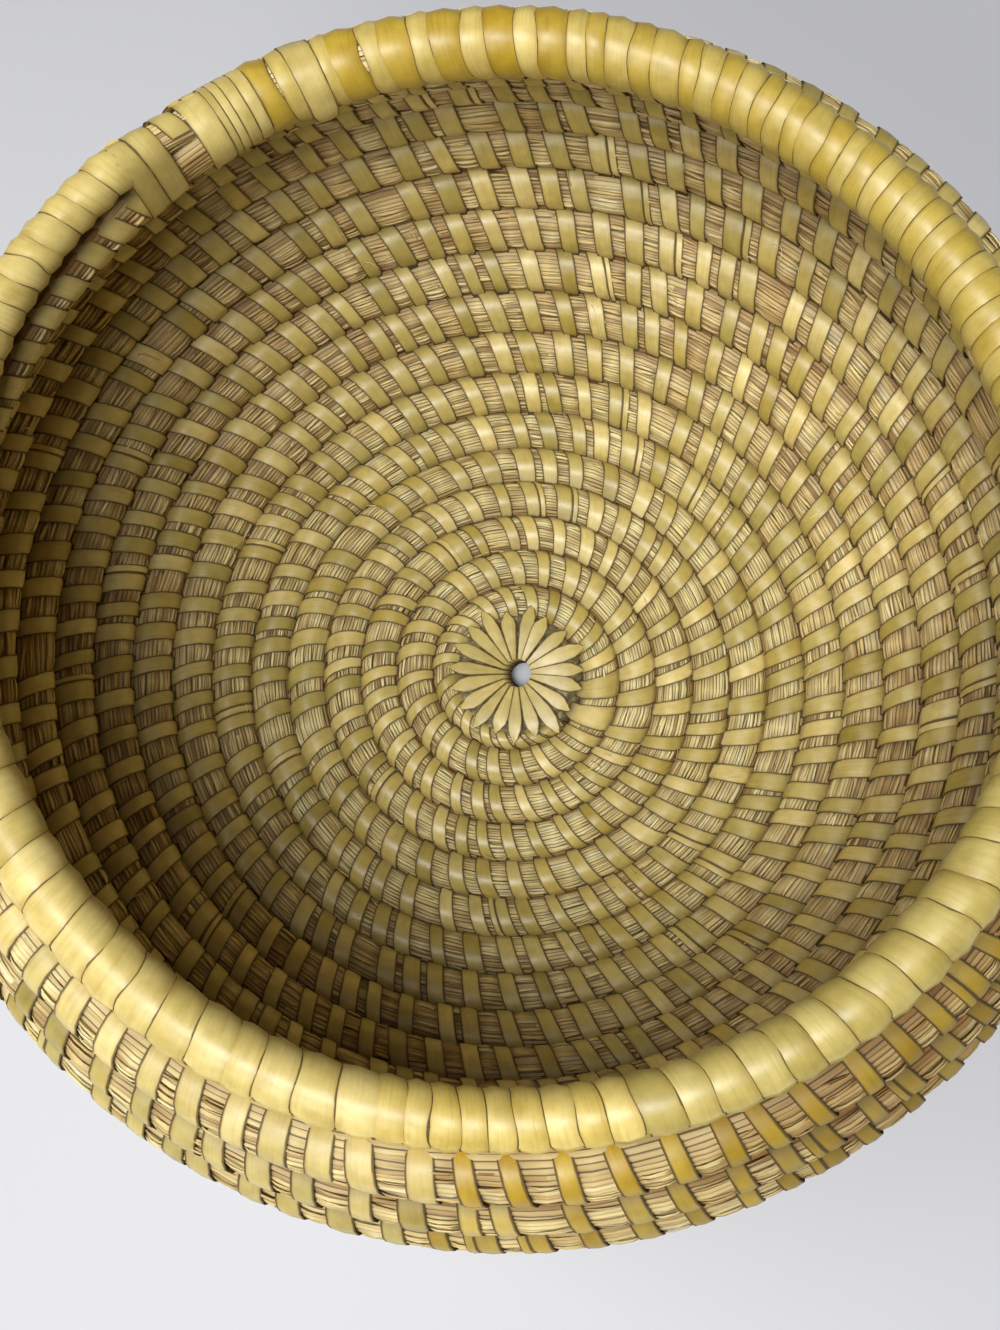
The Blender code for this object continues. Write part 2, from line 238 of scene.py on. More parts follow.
def bundle_at(turns):
    """Centre, directions, half width and half depth of the bundle at places along the spiral."""
    turns = np.asarray(turns, float)
    inner = np.maximum(row_edge(turns - 1), START_ROW_INNER)
    outer = row_edge(turns)
    before = turns < 0
    inner = np.where(before, START_RING_INNER, inner)
    outer = np.where(before, ROSETTE_RADIUS, outer)
    length = (inner + outer) / 2
    half = (outer - inner) / 2 - ROW_GAP
    rim_share = np.clip((turns - BODY_END) / RIM_GROWTH, 0.0, 1.0)
    tail_share = np.clip((turns - TAIL_START) / (TAIL_END - TAIL_START), 0.0, 1.0)
    reach = RIM_REACH + (TAIL_REACH - RIM_REACH) * tail_share - MM * np.interp(turns, *RIM_THINNED)
    length = length + (inner + reach - length) * rim_share
    half = half + (reach - WRAP_ROOM - half) * rim_share
    depth = np.maximum(half * BUNDLE_FLATNESS, LEAST_DEPTH * (1 - tail_share))
    slope = np.interp(length, path, path_slope)
    angle = math.radians(START_DEGREES) - 2 * math.pi * turns
    outward = np.stack([np.cos(angle), np.sin(angle), np.zeros_like(angle)], -1)
    upward = np.array([0.0, 0.0, 1.0])
    centre = outward * np.interp(length, path, path_radius)[..., None]
    centre = centre + upward * (BASE_HEIGHT + np.interp(length, path, path_height))[..., None]
    tilt_cos = np.cos(slope)[..., None]
    tilt_sin = np.sin(slope)[..., None]
    inside = upward * tilt_cos - outward * tilt_sin
    across = outward * tilt_cos + upward * tilt_sin
    row_move = ROW_INWARD * np.interp(turns, *ROW_MOVED)
    tail_move = TAIL_OUTWARD * np.interp(turns, *TAIL_MOVED)
    rim_lean = MM * np.interp(turns, *RIM_LEANED)
    centre = centre + (row_move + rim_lean - tail_move)[..., None] * inside
    sunk = TAIL_LOWERED * tail_move + TAIL_SINKING * np.interp(turns, *TAIL_SUNK)
    centre = centre - sunk[..., None] * across
    return centre, inside, across, half, depth


def on_bundle(turns, angle, lift, lowest=LEAST_HEIGHT):
    """Points round the bundle: angle 0 faces into the bowl, a quarter turn faces the next row."""
    centre, inside, across, half, depth = bundle_at(turns)
    toward_inside = ((depth + lift) * np.cos(angle))[..., None] * inside
    toward_next = ((half + lift) * np.sin(angle))[..., None] * across
    points = centre + toward_inside + toward_next
    points[..., 2] = np.maximum(points[..., 2], lowest)
    return points


def distance_round(turns):
    """Length of one whole turn of the spiral at this place."""
    centre = bundle_at(turns)[0]
    return 2 * math.pi * np.hypot(centre[..., 0], centre[..., 1])


# How many strips cross each turn of the bundle, and how far a strip leans over the inner face
STITCHES_PER_TURN = (20, 24, 34, 39, 40, 51, 58, 61, 69, 75, 77, 76, 74, 78, 84, 86, 82, 82)
FIRST_STITCH = 0.07
LAST_STITCH = BODY_END + 0.03
LEAN_TURNS = (0, 5, 7, 9, 18)
LEAN = np.array((4.2, 4.2, 4.0, 4.2, 4.4)) * MM
LEAN_SPREAD = (0.75, 1.2)
# A strip strays from its even place, and moves toward the middle between two strips of the row
# before, by these shares of the spacing
STRAYING = 0.1
LARGEST_MOVE = 0.35
MOVE_TAKEN = 0.6
LEAST_SPACING = 0.74
ROW_BEFORE_REACH = 0.06
chance = np.random.default_rng(41)


def place_stitches():
    """Each strip's place, spacing and lean: it goes through the row before between two strips."""
    places = []
    for turn, count in enumerate(STITCHES_PER_TURN):
        for number in range(count):
            straying = chance.uniform(-STRAYING, STRAYING)
            wanted = max(turn + (number + 0.5 + straying) / count, FIRST_STITCH)
            if wanted > LAST_STITCH:
                break
            pitch = distance_round(wanted) / count
            lean = np.interp(wanted, LEAN_TURNS, LEAN) * chance.uniform(*LEAN_SPREAD)
            row = [item for item in places if abs(item[0] - wanted + 1) < ROW_BEFORE_REACH]
            tops = sorted(item[0] - item[2] / distance_round(item[0]) for item in row)
            gaps = [(first + second) / 2 + 1 for first, second in zip(tops, tops[1:])]
            if gaps:
                nearest = min(gaps, key=lambda gap: abs(gap - wanted))
                move = min(max(nearest - wanted, -LARGEST_MOVE / count), LARGEST_MOVE / count)
                wanted += move * MOVE_TAKEN
            if places:
                wanted = max(wanted, places[-1][0] + LEAST_SPACING / count)
            places.append((wanted, pitch, lean))
    places.sort()
    return np.array(places)


def between(turns, limits):
    """Which of these places lie between two others along the spiral."""
    return (turns > limits[0]) & (turns < limits[1])


WIDTH_SHARES = (0.46, 0.60)
WIDTH_LIMITS = (2.8 * MM, 4.9 * MM)
stitch_turns, stitch_pitch, stitch_lean = place_stitches().T
stitch_round = distance_round(stitch_turns)
stitch_width = stitch_pitch * chance.uniform(*WIDTH_SHARES, len(stitch_turns))
stitch_width = np.clip(stitch_width, *WIDTH_LIMITS)

# The strips under the near side of the rim are narrow and deep gold, and some below them are gold.
# Those after the gold ones and at the row's end are broader, and the work starts with broad ones.
NEAR_SIDE = (0.9, 0.16)
UPPER_ROWS = (13.8, BODY_END + 0.5)
GOLD_ROW = (16.93, 17.16)
GOLD_SHARE = 0.4
GOLD_WIDTH = 3.0 * MM
AFTER_GOLD = (17.16, 17.31)
LAST_STRIPS = (17.4, BODY_END + 0.5)
START_STRIPS = (0.905, 1.005)
START_WIDTH = 5.6 * MM
FIRST_WIDTH = 3.6 * MM
round_share = stitch_turns % 1.0
near_upper = (round_share > NEAR_SIDE[0]) | (round_share < NEAR_SIDE[1])
near_upper = near_upper & between(stitch_turns, UPPER_ROWS)
some_gold = near_upper & (chance.random(len(stitch_turns)) < GOLD_SHARE)
row_gold = between(stitch_turns, GOLD_ROW)
last_strips = between(stitch_turns, LAST_STRIPS)
after_gold = between(stitch_turns, AFTER_GOLD)
for chosen, share in ((near_upper, 0.86), (last_strips, 1.2), (after_gold, 1.15)):
    stitch_width = np.where(chosen, stitch_width * share, stitch_width)
stitch_width = np.where(some_gold | row_gold, GOLD_WIDTH, stitch_width)
stitch_width = np.where(between(stitch_turns, START_STRIPS), START_WIDTH, stitch_width)
stitch_width[0] = FIRST_WIDTH

# A strip crosses the inner face from the first of these angles to the row's top, and the outer face
# over as many degrees from there
CROSSING_START = -60
ROW_TOP = 90
CROSSING = ROW_TOP - CROSSING_START
LEAN_CURVE = 1.5
PINCH_REACH = 0.33


def lean_share(degrees):
    """How much of its lean a strip has taken at this angle round the inner face."""
    return np.clip((degrees - CROSSING_START) / CROSSING, 0.0, 1.0) ** LEAN_CURVE


def back_share(degrees):
    """How much of the way back to the strip before it has gone on the outer face."""
    return np.clip((degrees - ROW_TOP) / CROSSING, 0.0, 1.0)


def strip_shift(angle, lean, pitch):
    """How far back along the bundle a strip has gone at this angle round it."""
    degrees = (np.degrees(angle) + 90) % 360 - 90
    return lean * lean_share(degrees) + (pitch - lean) * back_share(degrees)


def strip_nearness(turns, angle):
    """1 under a sewing strip, falling to 0 in the open grass between two strips."""
    lean = np.interp(turns, stitch_turns, stitch_lean)
    pitch = np.interp(turns, stitch_turns, stitch_pitch)
    whole = np.interp(turns, stitch_turns, stitch_round)
    sought = turns + strip_shift(angle, lean, pitch) / whole
    after = np.clip(np.searchsorted(stitch_turns, sought), 1, len(stitch_turns) - 1)
    gap = np.minimum(np.abs(stitch_turns[after] - sought), np.abs(sought - stitch_turns[after - 1]))
    share = gap * whole / (pitch * PINCH_REACH)
    return np.exp(-(share ** 4))


# Each stem is three columns of points round the bundle: one deep down beside it and two on its back
STEMS = 34
STEM_CORNERS = np.array((0.0, 0.26, 0.74))
STEM_COLUMNS = len(STEM_CORNERS)
STEM_DEPTH = 0.5 * MM
STATION_STEP = 3.1 * MM
GRASS_START = 0.02
GRASS_LOWEST = 0.35 * MM
fine_turns = np.linspace(GRASS_START, TAIL_END, 8000)
fine_centres = bundle_at(fine_turns)[0]
fine_steps = np.linalg.norm(np.diff(fine_centres, axis=0), axis=1)
fine_lengths = np.concatenate([[0.0], np.cumsum(fine_steps)])

# At every knot along the bundle each stem gets its own step sideways and its own level
KNOT_STEP = 9.0 * MM
SPARE_LENGTH = 0.05
STEM_STEP = 0.20
TWIST_STEP = 0.07
knot_places = np.arange(0.0, fine_lengths[-1] + SPARE_LENGTH, KNOT_STEP)
stem_wander = chance.normal(0.0, STEM_STEP, (len(knot_places), STEMS))
stem_level = chance.random((len(knot_places), STEMS)) ** 2
bundle_twist = np.cumsum(chance.normal(0.0, TWIST_STEP, len(knot_places)))
WANDER_TAKEN = 0.8
LEVEL_DROP = 0.40 * MM
SWELLING = 0.12 * MM
PINCHING = 0.20 * MM
CREASE_LIFT = 0.3 * MM

# Painted shade on the grass: beside the strips, in the creases, on low stems and on the outside of the
# right and near side. The painted crease shade under the rim is paler where the leaning rim leaves it
# open.
NEAR_SHADE = 0.6
LEVEL_SHADE = 0.2
DARK_SHADE = 0.55
OPEN_CREASE = 0.35
INNER_CREASE = 4
OUTER_CREASE = 2.5
DARK_START = 0.8
DARK_SHARES = ((0.0, 0.06, 0.24, 0.32, 0.40, 0.46), (0.0, 1.0, 1.0, 0.3, 0.25, 0.0))
BROWN_START = 5
BROWN_TURNS = 4
BROWN_OUTSIDE = 0.45


def painted_shade_side(turns, angle):
    """1 on the outside of the right and near right, where painted shade darkens the grass and leaf."""
    share = np.interp((turns - DARK_START) % 1.0, *DARK_SHARES)
    return share * (np.cos(angle) < 0)


def wall_share(turns, angle):
    """How brown the grass is: more so up the inner wall than on the floor and the outside."""
    share = np.clip((turns - BROWN_START) / BROWN_TURNS, 0.0, 1.0)
    return share * np.where(np.cos(angle) < 0, BROWN_OUTSIDE, 1.0)


def finish_piece(name, shape, finish, crisp=180):
    """Turns a bmesh into a named, smooth object that rides with the basket."""
    mesh = bpy.data.meshes.new(name)
    shape.to_mesh(mesh)
    shape.free()
    mesh.shade_smooth()
    if crisp < 180:
        mesh.set_sharp_from_angle(angle=math.radians(crisp))
    mesh.materials.append(finish)
    piece = bpy.data.objects.new(name, mesh)
    bpy.context.scene.collection.objects.link(piece)
    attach(piece, "root")
    return piece


def set_places(mesh, places):
    """Moves every vertex of a mesh to its place."""
    mesh.vertices.foreach_set("co", np.ascontiguousarray(places, np.float32).ravel())
    mesh.update()


def set_map(mesh, across, along):
    """Writes a UV map from one pair of values for each vertex."""
    corners = np.empty(len(mesh.loops), np.int32)
    mesh.loops.foreach_get("vertex_index", corners)
    layer = mesh.uv_layers.new(name="lie")
    pairs = np.stack([across[corners], along[corners]], -1).astype(np.float32)
    layer.data.foreach_set("uv", pairs.ravel())


def set_value(mesh, label, values):
    """Writes one value for each vertex, for a finish to read."""
    layer = mesh.attributes.new(label, "FLOAT", "POINT")
    layer.data.foreach_set("value", np.ascontiguousarray(values, np.float32).ravel())


def lay_grass(name, start, end, finish):
    """A closed, ribbed length of the bundle between two places of the spiral, in turns."""
    first, last = np.interp((start, end), fine_turns, fine_lengths)
    stations = max(int((last - first) / STATION_STEP), 2)
    columns = STEMS * STEM_COLUMNS
    shape = bmesh.new()
    bmesh.ops.create_grid(shape, x_segments=columns, y_segments=stations, size=0.5)
    mesh = bpy.data.meshes.new(name)
    shape.to_mesh(mesh)
    shape.free()
    flat = np.empty(len(mesh.vertices) * 3, np.float32)
    mesh.vertices.foreach_get("co", flat)
    flat = flat.reshape(-1, 3) + 0.5
    column = np.rint(flat[:, 0] * columns).astype(int)
    length = first + (last - first) * flat[:, 1]
    turns = np.interp(length, fine_lengths, fine_turns)
    stem = (column // STEM_COLUMNS) % STEMS
    corner = column % STEM_COLUMNS
    knot = np.clip(length / KNOT_STEP, 0, len(knot_places) - 2)
    low = knot.astype(int)
    part = knot - low
    wander = stem_wander[low, stem] * (1 - part) + stem_wander[low + 1, stem] * part
    level = stem_level[low, stem] * (1 - part) + stem_level[low + 1, stem] * part
    twist = np.interp(length, knot_places, bundle_twist)
    place = column // STEM_COLUMNS + STEM_CORNERS[corner] + wander * WANDER_TAKEN
    angle = 2 * math.pi * place / STEMS + twist
    near = strip_nearness(turns, angle)
    lift = -LEVEL_DROP * level + SWELLING * (1 - near) - PINCHING * near
    lift = np.where(corner == 0, lift - STEM_DEPTH, lift)
    steep = np.abs(np.sin(angle))
    crease = steep ** INNER_CREASE
    lift = lift + (CREASE_LIFT - lift) * crease
    # Painted shade: the creases, nearness to the strips, low stems and the shaded side darken the grass
    crease = np.where(np.cos(angle) < 0, steep ** OUTER_CREASE, crease)
    toward_next = np.sin(angle) > 0
    crease = np.where((turns > BODY_END) & toward_next, 0.0, crease)
    uncovered = np.interp(turns + 1, *RIM_LEANED) * OPEN_CREASE
    crease = np.where(toward_next, crease * (1 - uncovered), crease)
    crease = crease + DARK_SHADE * painted_shade_side(turns, angle)
    shade = np.maximum(near * NEAR_SHADE, crease) + LEVEL_SHADE * level
    set_places(mesh, on_bundle(turns, angle, lift, GRASS_LOWEST))
    set_map(mesh, column / columns, length)
    set_value(mesh, "shade", np.clip(shade, 0.0, 1.0))
    set_value(mesh, "wall", wall_share(turns, angle))
    shape = bmesh.new()
    shape.from_mesh(mesh)
    bpy.data.meshes.remove(mesh)
    bmesh.ops.remove_doubles(shape, verts=shape.verts, dist=0.001 * MM)
    rims = [edge for edge in shape.edges if edge.is_boundary]
    bmesh.ops.holes_fill(shape, edges=rims)
    bmesh.ops.recalc_face_normals(shape, faces=shape.faces)
    return finish_piece(name, shape, finish)


def new_group(name, *sockets_in):
    """A shader group that takes these sockets, each a name, a kind and a start value."""
    group = bpy.data.node_groups.new(name, "ShaderNodeTree")
    for label, kind, value in sockets_in:
        socket = group.interface.new_socket(label, in_out="INPUT", socket_type="NodeSocket" + kind)
        socket.default_value = value
    for label, kind in (("Colour", "Color"), ("Height", "Float"), ("Roughness", "Float")):
        group.interface.new_socket(label, in_out="OUTPUT", socket_type="NodeSocket" + kind)
    return group, group.nodes.new("NodeGroupInput").outputs, group.nodes.new("NodeGroupOutput").inputs


def times(tree, first, second):
    """The product of two sockets or numbers."""
    return add_math(tree, "MULTIPLY", first, second)


def plus(tree, first, second):
    """The sum of two sockets or numbers."""
    return add_math(tree, "ADD", first, second)


def minus(tree, first, second):
    """The first socket or number less the second."""
    return add_math(tree, "SUBTRACT", first, second)


def add_mix(tree, share, first, second, blend="MIX"):
    """A colour Mix node fed by sockets or plain colours."""
    node = tree.nodes.new("ShaderNodeMix")
    node.data_type = "RGBA"
    node.blend_type = blend
    for slot, value in ((node.inputs[0], share), (node.inputs[6], first), (node.inputs[7], second)):
        if isinstance(value, (int, float)):
            slot.default_value = value
        elif isinstance(value, tuple):
            slot.default_value = (*value, 1.0)
        else:
            tree.links.new(value, slot)
    return node.outputs[2]


def add_ramp(tree, share, *stops):
    """A colour ramp through these stops, each a place and a colour."""
    node = tree.nodes.new("ShaderNodeValToRGB")
    ramp = node.color_ramp
    while len(ramp.elements) < len(stops):
        ramp.elements.new(0.5)
    for element, (place, colour) in zip(ramp.elements, stops):
        element.position = place
        element.color = (*colour, 1.0)
    tree.links.new(share, node.inputs[0])
    return node.outputs[0]


def add_noise(tree, place, scale, detail):
    """A noise texture read at this place."""
    node = tree.nodes.new("ShaderNodeTexNoise")
    node.inputs["Scale"].default_value = scale
    node.inputs["Detail"].default_value = detail
    tree.links.new(place, node.inputs["Vector"])
    return node.outputs["Fac"]


def combine(tree, x, y, z=0.0):
    """A Combine XYZ node fed by sockets or plain numbers."""
    node = tree.nodes.new("ShaderNodeCombineXYZ")
    for slot, value in zip(node.inputs, (x, y, z)):
        if isinstance(value, (int, float)):
            slot.default_value = value
        else:
            tree.links.new(value, slot)
    return node.outputs[0]


def own_random(tree, dimensions, slot, place):
    """A random value for each whole number, or pair of whole numbers."""
    node = tree.nodes.new("ShaderNodeTexWhiteNoise")
    node.noise_dimensions = dimensions
    tree.links.new(place, node.inputs[slot])
    return node.outputs["Value"]


NO_TINT = (1.0, 1.0, 1.0)
# How many lengths of stem there are in a metre, and how far each stem's are moved along
STEM_LENGTHS = 28.0
LENGTH_OFFSET = 9.0
# Painted shade in the gaps between stems: where it starts across a stem, how fast it darkens, its
# colour, its darkest share and how much softer it is on the wall
GAP_START = 0.34
GAP_STEEPNESS = 12.0
GAP_SHADE_COLOUR = (0.03, 0.015, 0.003)
GAP_DARKEST = 0.97
GAP_SOFTER_ON_WALL = 0.42


def make_stem_group():
    """Colours each dried stem by itself, with fine lengthwise streaks and painted shade in the gaps
    between stems.
    """
    group, given, made = new_group(
        "dried_stems", ("Across", "Float", 0.0), ("Along", "Float", 0.0), ("Gap", "Float", GAP_DARKEST))
    stem = add_math(group, "FLOOR", given["Across"])
    within = add_math(group, "FRACT", given["Across"])
    offset = times(group, own_random(group, "1D", "W", stem), LENGTH_OFFSET)
    lengths = plus(group, times(group, given["Along"], STEM_LENGTHS), offset)
    length_cell = add_math(group, "FLOOR", lengths)
    tone = own_random(group, "2D", "Vector", combine(group, stem, length_cell))
    streak_place = combine(
        group,
        times(group, given["Across"], 1.6),
        times(group, given["Along"], 40.0),
        times(group, tone, 40.0),
    )
    streaks = add_noise(group, streak_place, 1.6, 4.0)
    stem_colour = add_ramp(
        group,
        tone,
        (0.0, (0.52, 0.37, 0.16)),
        (0.10, (0.80, 0.64, 0.28)),
        (0.35, (0.97, 0.84, 0.40)),
        (0.6, (1.0, 0.91, 0.48)),
        (0.8, (0.86, 0.70, 0.30)),
        (1.0, (1.0, 0.96, 0.62)),
    )
    streak_colour = add_ramp(group, streaks, (0.3, (0.55, 0.42, 0.25)), (0.46, NO_TINT))
    streaked = add_mix(group, 0.5, stem_colour, streak_colour, "MULTIPLY")
    from_middle = add_math(group, "ABSOLUTE", minus(group, within, 0.5))
    gap = times(group, minus(group, from_middle, GAP_START), GAP_STEEPNESS)
    gap = add_math(group, "SMOOTH_MAX", gap, 0.0)
    gap = add_math(group, "MINIMUM", gap, given["Gap"])
    group.links.new(add_mix(group, gap, streaked, GAP_SHADE_COLOUR), made["Colour"])
    group.links.new(streaks, made["Height"])
    group.links.new(plus(group, times(group, streaks, -0.25), 0.72), made["Roughness"])
    return group


stem_group = make_stem_group()


def start_finish(name, group):
    """A new finish: its tree, its shader, a shader group placed in it, and the piece's own place."""
    finish = bpy.data.materials.new(name)
    finish.use_nodes = True
    tree = finish.node_tree
    placed = tree.nodes.new("ShaderNodeGroup")
    placed.node_tree = group
    place = tree.nodes.new("ShaderNodeTexCoord").outputs["Object"]
    return finish, tree, tree.nodes["Principled BSDF"], placed, place


def read_map(tree):
    """The two directions of a piece's own map, across and along."""
    lie = tree.nodes.new("ShaderNodeUVMap")
    lie.uv_map = "lie"
    parts = tree.nodes.new("ShaderNodeSeparateXYZ")
    tree.links.new(lie.outputs["UV"], parts.inputs[0])
    return parts.outputs["X"], parts.outputs["Y"]


def read_value(tree, label):
    """A value that the vertices of a piece carry."""
    node = tree.nodes.new("ShaderNodeAttribute")
    node.attribute_name = label
    return node.outputs["Fac"]


def add_relief(tree, shader, height, strength, depth):
    """A fine relief of this height on the shader's surface."""
    relief = tree.nodes.new("ShaderNodeBump")
    relief.inputs["Strength"].default_value = strength
    relief.inputs["Distance"].default_value = depth
    tree.links.new(height, relief.inputs["Height"])
    tree.links.new(relief.outputs["Normal"], shader.inputs["Normal"])


def make_grass_finish():
    """Dried grass that follows a piece's own map, patchy, browner on the wall, with painted shade in
    creases.
    """
    finish, tree, shader, stems, place = start_finish("dried_grass", stem_group)
    across, along = read_map(tree)
    wall = read_value(tree, "wall")
    tree.links.new(times(tree, across, float(STEMS)), stems.inputs["Across"])
    tree.links.new(along, stems.inputs["Along"])
    tree.links.new(minus(tree, GAP_DARKEST, times(tree, wall, GAP_SOFTER_ON_WALL)), stems.inputs["Gap"])
    patches = add_noise(tree, place, 90.0, 2.0)
    patch_colour = add_ramp(tree, patches, (0.3, (0.84, 0.77, 0.60)), (0.62, NO_TINT))
    colour = add_mix(tree, 0.7, stems.outputs["Colour"], patch_colour, "MULTIPLY")
    browning = add_noise(tree, place, 45.0, 1.0)
    brown = add_ramp(tree, browning, (0.35, (0.82, 0.70, 0.66)), (0.65, (1.0, 0.95, 0.93)))
    colour = add_mix(tree, wall, colour, brown, "MULTIPLY")
    # Painted shade: each piece's shade values darken the grass toward this brown
    colour = add_mix(tree, read_value(tree, "shade"), colour, (0.26, 0.15, 0.04), "MULTIPLY")
    tree.links.new(colour, shader.inputs["Base Color"])
    tree.links.new(stems.outputs["Roughness"], shader.inputs["Roughness"])
    add_relief(tree, shader, stems.outputs["Height"], 0.5, 0.15 * MM)
    return finish


grass_finish = make_grass_finish()
GRASS_LENGTHS = (
    ("grass_floor", GRASS_START, 6.0),
    ("grass_lower_wall", 6.0, 10.0),
    ("grass_upper_wall", 10.0, 14.0),
    ("grass_shoulder_and_rim", 14.0, TAIL_END),
)
for name, start, end in GRASS_LENGTHS:
    grass = lay_grass(name, start, end, grass_finish)
    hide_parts("grass_coil")

# Loose stems
# Single stems that show between two sewing strips and lie slantwise over their neighbours, with
# both ends tucked under the strips, on both faces of the wall.
STEMS_PER_WINDOW = 4
LOOSE_STATIONS = 4
LOOSE_SPREAD = 0.95
LOOSE_TUCKED = (1.2, 2.4)
LOOSE_DRIFT = 0.05
LOOSE_HALF = (0.22, 0.46)
LOOSE_LEVEL = (-0.16, 0.10)
LOOSE_BOW = 0.20 * MM
END_DROP = 0.50 * MM
SHUT_DROP = 0.6 * MM
# A window between two strips opens from the first width by the second
WINDOW_SHUT = 0.7 * MM
WINDOW_OPENING = 1.2 * MM
LOOSE_LOWEST = 0.3 * MM
STEM_SIDE = np.array((1.0, 0.0, -1.0))
BUNDLE_RADIUS = 4.6 * MM


def straight_stem(sides, stations):
    """A closed thin stem, and the station along and the corner round it of each of its vertices."""
    shape = bmesh.new()
    bmesh.ops.create_cone(
        shape, cap_ends=True, segments=sides, radius1=1.0, radius2=1.0, depth=stations - 1)
    long_edges = [edge for edge in shape.edges if abs(edge.verts[0].co.z - edge.verts[1].co.z) > 0.5]
    bmesh.ops.subdivide_edges(shape, edges=long_edges, cuts=stations - 2, use_grid_fill=True)
    unit = bpy.data.meshes.new("one_stem")
    shape.to_mesh(unit)
    shape.free()
    places = np.array([vertex.co for vertex in unit.vertices])
    station = np.rint(places[:, 2] - places[:, 2].min()).astype(int)
    corner_angle = np.arctan2(places[:, 1], places[:, 0])
    start = corner_angle[station == 0].min()
    corner = np.rint((corner_angle - start) / (2 * math.pi / sides)).astype(int) % sides
    return unit, station, corner


def repeat_mesh(name, unit, copies):
    """Many copies of one small mesh in a single mesh, in order, in place of the small one."""
    shape = bmesh.new()
    for _ in range(copies):
        shape.from_mesh(unit)
    mesh = bpy.data.meshes.new(name)
    shape.to_mesh(mesh)
    shape.free()
    bpy.data.meshes.remove(unit)
    return mesh


def face_outward(*meshes):
    """One shape of all these meshes of closed shapes, in place of them, with every face outward."""
    shape = bmesh.new()
    for mesh in meshes:
        shape.from_mesh(mesh)
        bpy.data.meshes.remove(mesh)
    bmesh.ops.recalc_face_normals(shape, faces=shape.faces)
    return shape


def lay_loose_stems(name, middle_angle, thickness):
    """Several loose stems in each window between two strips, on one face of the wall."""
    unit, station, corner = straight_stem(3, LOOSE_STATIONS)
    first = np.repeat(stitch_turns[:-1], STEMS_PER_WINDOW)
    second = np.repeat(stitch_turns[1:], STEMS_PER_WINDOW)
    lean = np.repeat(stitch_lean[:-1], STEMS_PER_WINDOW)
    pitch = np.repeat(stitch_pitch[:-1], STEMS_PER_WINDOW)
    count = len(first)
    whole = distance_round(first)
    leaf = np.repeat((stitch_width[:-1] + stitch_width[1:]) / 2, STEMS_PER_WINDOW)
    window = (second - first) * whole - leaf
    middle = middle_angle + chance.uniform(-LOOSE_SPREAD, LOOSE_SPREAD, count)
    centre = (first + second) / 2 - strip_shift(middle, lean, pitch) / whole
    length = np.maximum(window, 0.0) + chance.uniform(*LOOSE_TUCKED, count) * MM
    drift = chance.normal(0.0, LOOSE_DRIFT, count) * length / BUNDLE_RADIUS
    half = chance.uniform(*LOOSE_HALF, count) * thickness * MM
    share = station / (LOOSE_STATIONS - 1) - 0.5
    side = STEM_SIDE[corner]
    height = np.array((-0.4, 1.0, -0.4))[corner]
    turns = centre[:, None] + length[:, None] * share / whole[:, None]
    turns = np.clip(turns, 0.03, BODY_END + 0.02)
    angle = middle[:, None] + drift[:, None] * share + side * half[:, None] / BUNDLE_RADIUS
    open_share = np.clip((window - WINDOW_SHUT) / WINDOW_OPENING, 0.0, 1.0)[:, None]
    bow = LOOSE_BOW - END_DROP * np.abs(share * 2) ** 3 - SHUT_DROP * (1 - open_share)
    level = chance.uniform(*LOOSE_LEVEL, count)[:, None] * MM
    lift = bow + level + height * half[:, None] * 0.7
    mesh = repeat_mesh(name, unit, count)
    set_places(mesh, on_bundle(turns, angle, lift, LOOSE_LOWEST).reshape(-1, 3))
    number = np.arange(count)[:, None]
    # The stems' sides fall in the painted shade of the gaps between stems
    across = (number + 0.5 + 0.46 * side).ravel() / STEMS
    set_map(mesh, across, (number * 0.37 + share * length[:, None]).ravel())
    # Painted shade: in the creases, at the ends tucked under the strips and on the shaded side
    crease = np.abs(np.sin(angle)) ** np.where(np.cos(angle) < 0, OUTER_CREASE, 5.0)
    tucked = np.abs(share * 2) ** 4 * NEAR_SHADE
    crease = np.maximum(tucked, crease) + DARK_SHADE * painted_shade_side(turns, angle)
    set_value(mesh, "shade", np.minimum(crease, 1.0))
    set_value(mesh, "wall", wall_share(turns, angle))
    return finish_piece(name, face_outward(mesh), grass_finish)


for name, middle_angle, thickness in (
    ("loose_stems_inside", 0.0, 1.0), ("loose_stems_outside", math.pi, 0.65),
):
    loose = lay_loose_stems(name, middle_angle, thickness)
    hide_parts("grass_coil")

# Start ring
# The small closed ring of darker grass that the work starts on. The first leaf strip is wound round
# it through its hole, so the rosette hides most of it.
RING_MIDDLE = 10.1 * MM
RING_LEVEL = 3.7 * MM
RING_HALF_WIDTH = 5.8 * MM
RING_HALF_HEIGHT = 3.2 * MM
RING_CORNERS = 48
RING_STEPS = 72
GROOVE = 0.93
ring_shape = bmesh.new()
ring_corners = []
for number in range(RING_CORNERS):
    angle = 2 * math.pi * number / RING_CORNERS
    ridge = 1.0 if number % 2 else GROOVE
    x = RING_MIDDLE + RING_HALF_WIDTH * ridge * math.cos(angle)
    z = RING_LEVEL + RING_HALF_HEIGHT * ridge * math.sin(angle)
    ring_corners.append(ring_shape.verts.new((x, 0.0, z)))
ring_edges = [
    ring_shape.edges.new(pair) for pair in zip(ring_corners, ring_corners[1:] + ring_corners[:1])
]
bmesh.ops.spin(
    ring_shape,
    geom=ring_corners + ring_edges,
    axis=(0.0, 0.0, 1.0),
    angle=2 * math.pi,
    steps=RING_STEPS,
    use_merge=True,
)
bmesh.ops.recalc_face_normals(ring_shape, faces=ring_shape.faces)
ring_finish = bpy.data.materials.new("dark_fibre")
ring_finish.use_nodes = True
ring_tree = ring_finish.node_tree
ring_place = ring_tree.nodes.new("ShaderNodeTexCoord")
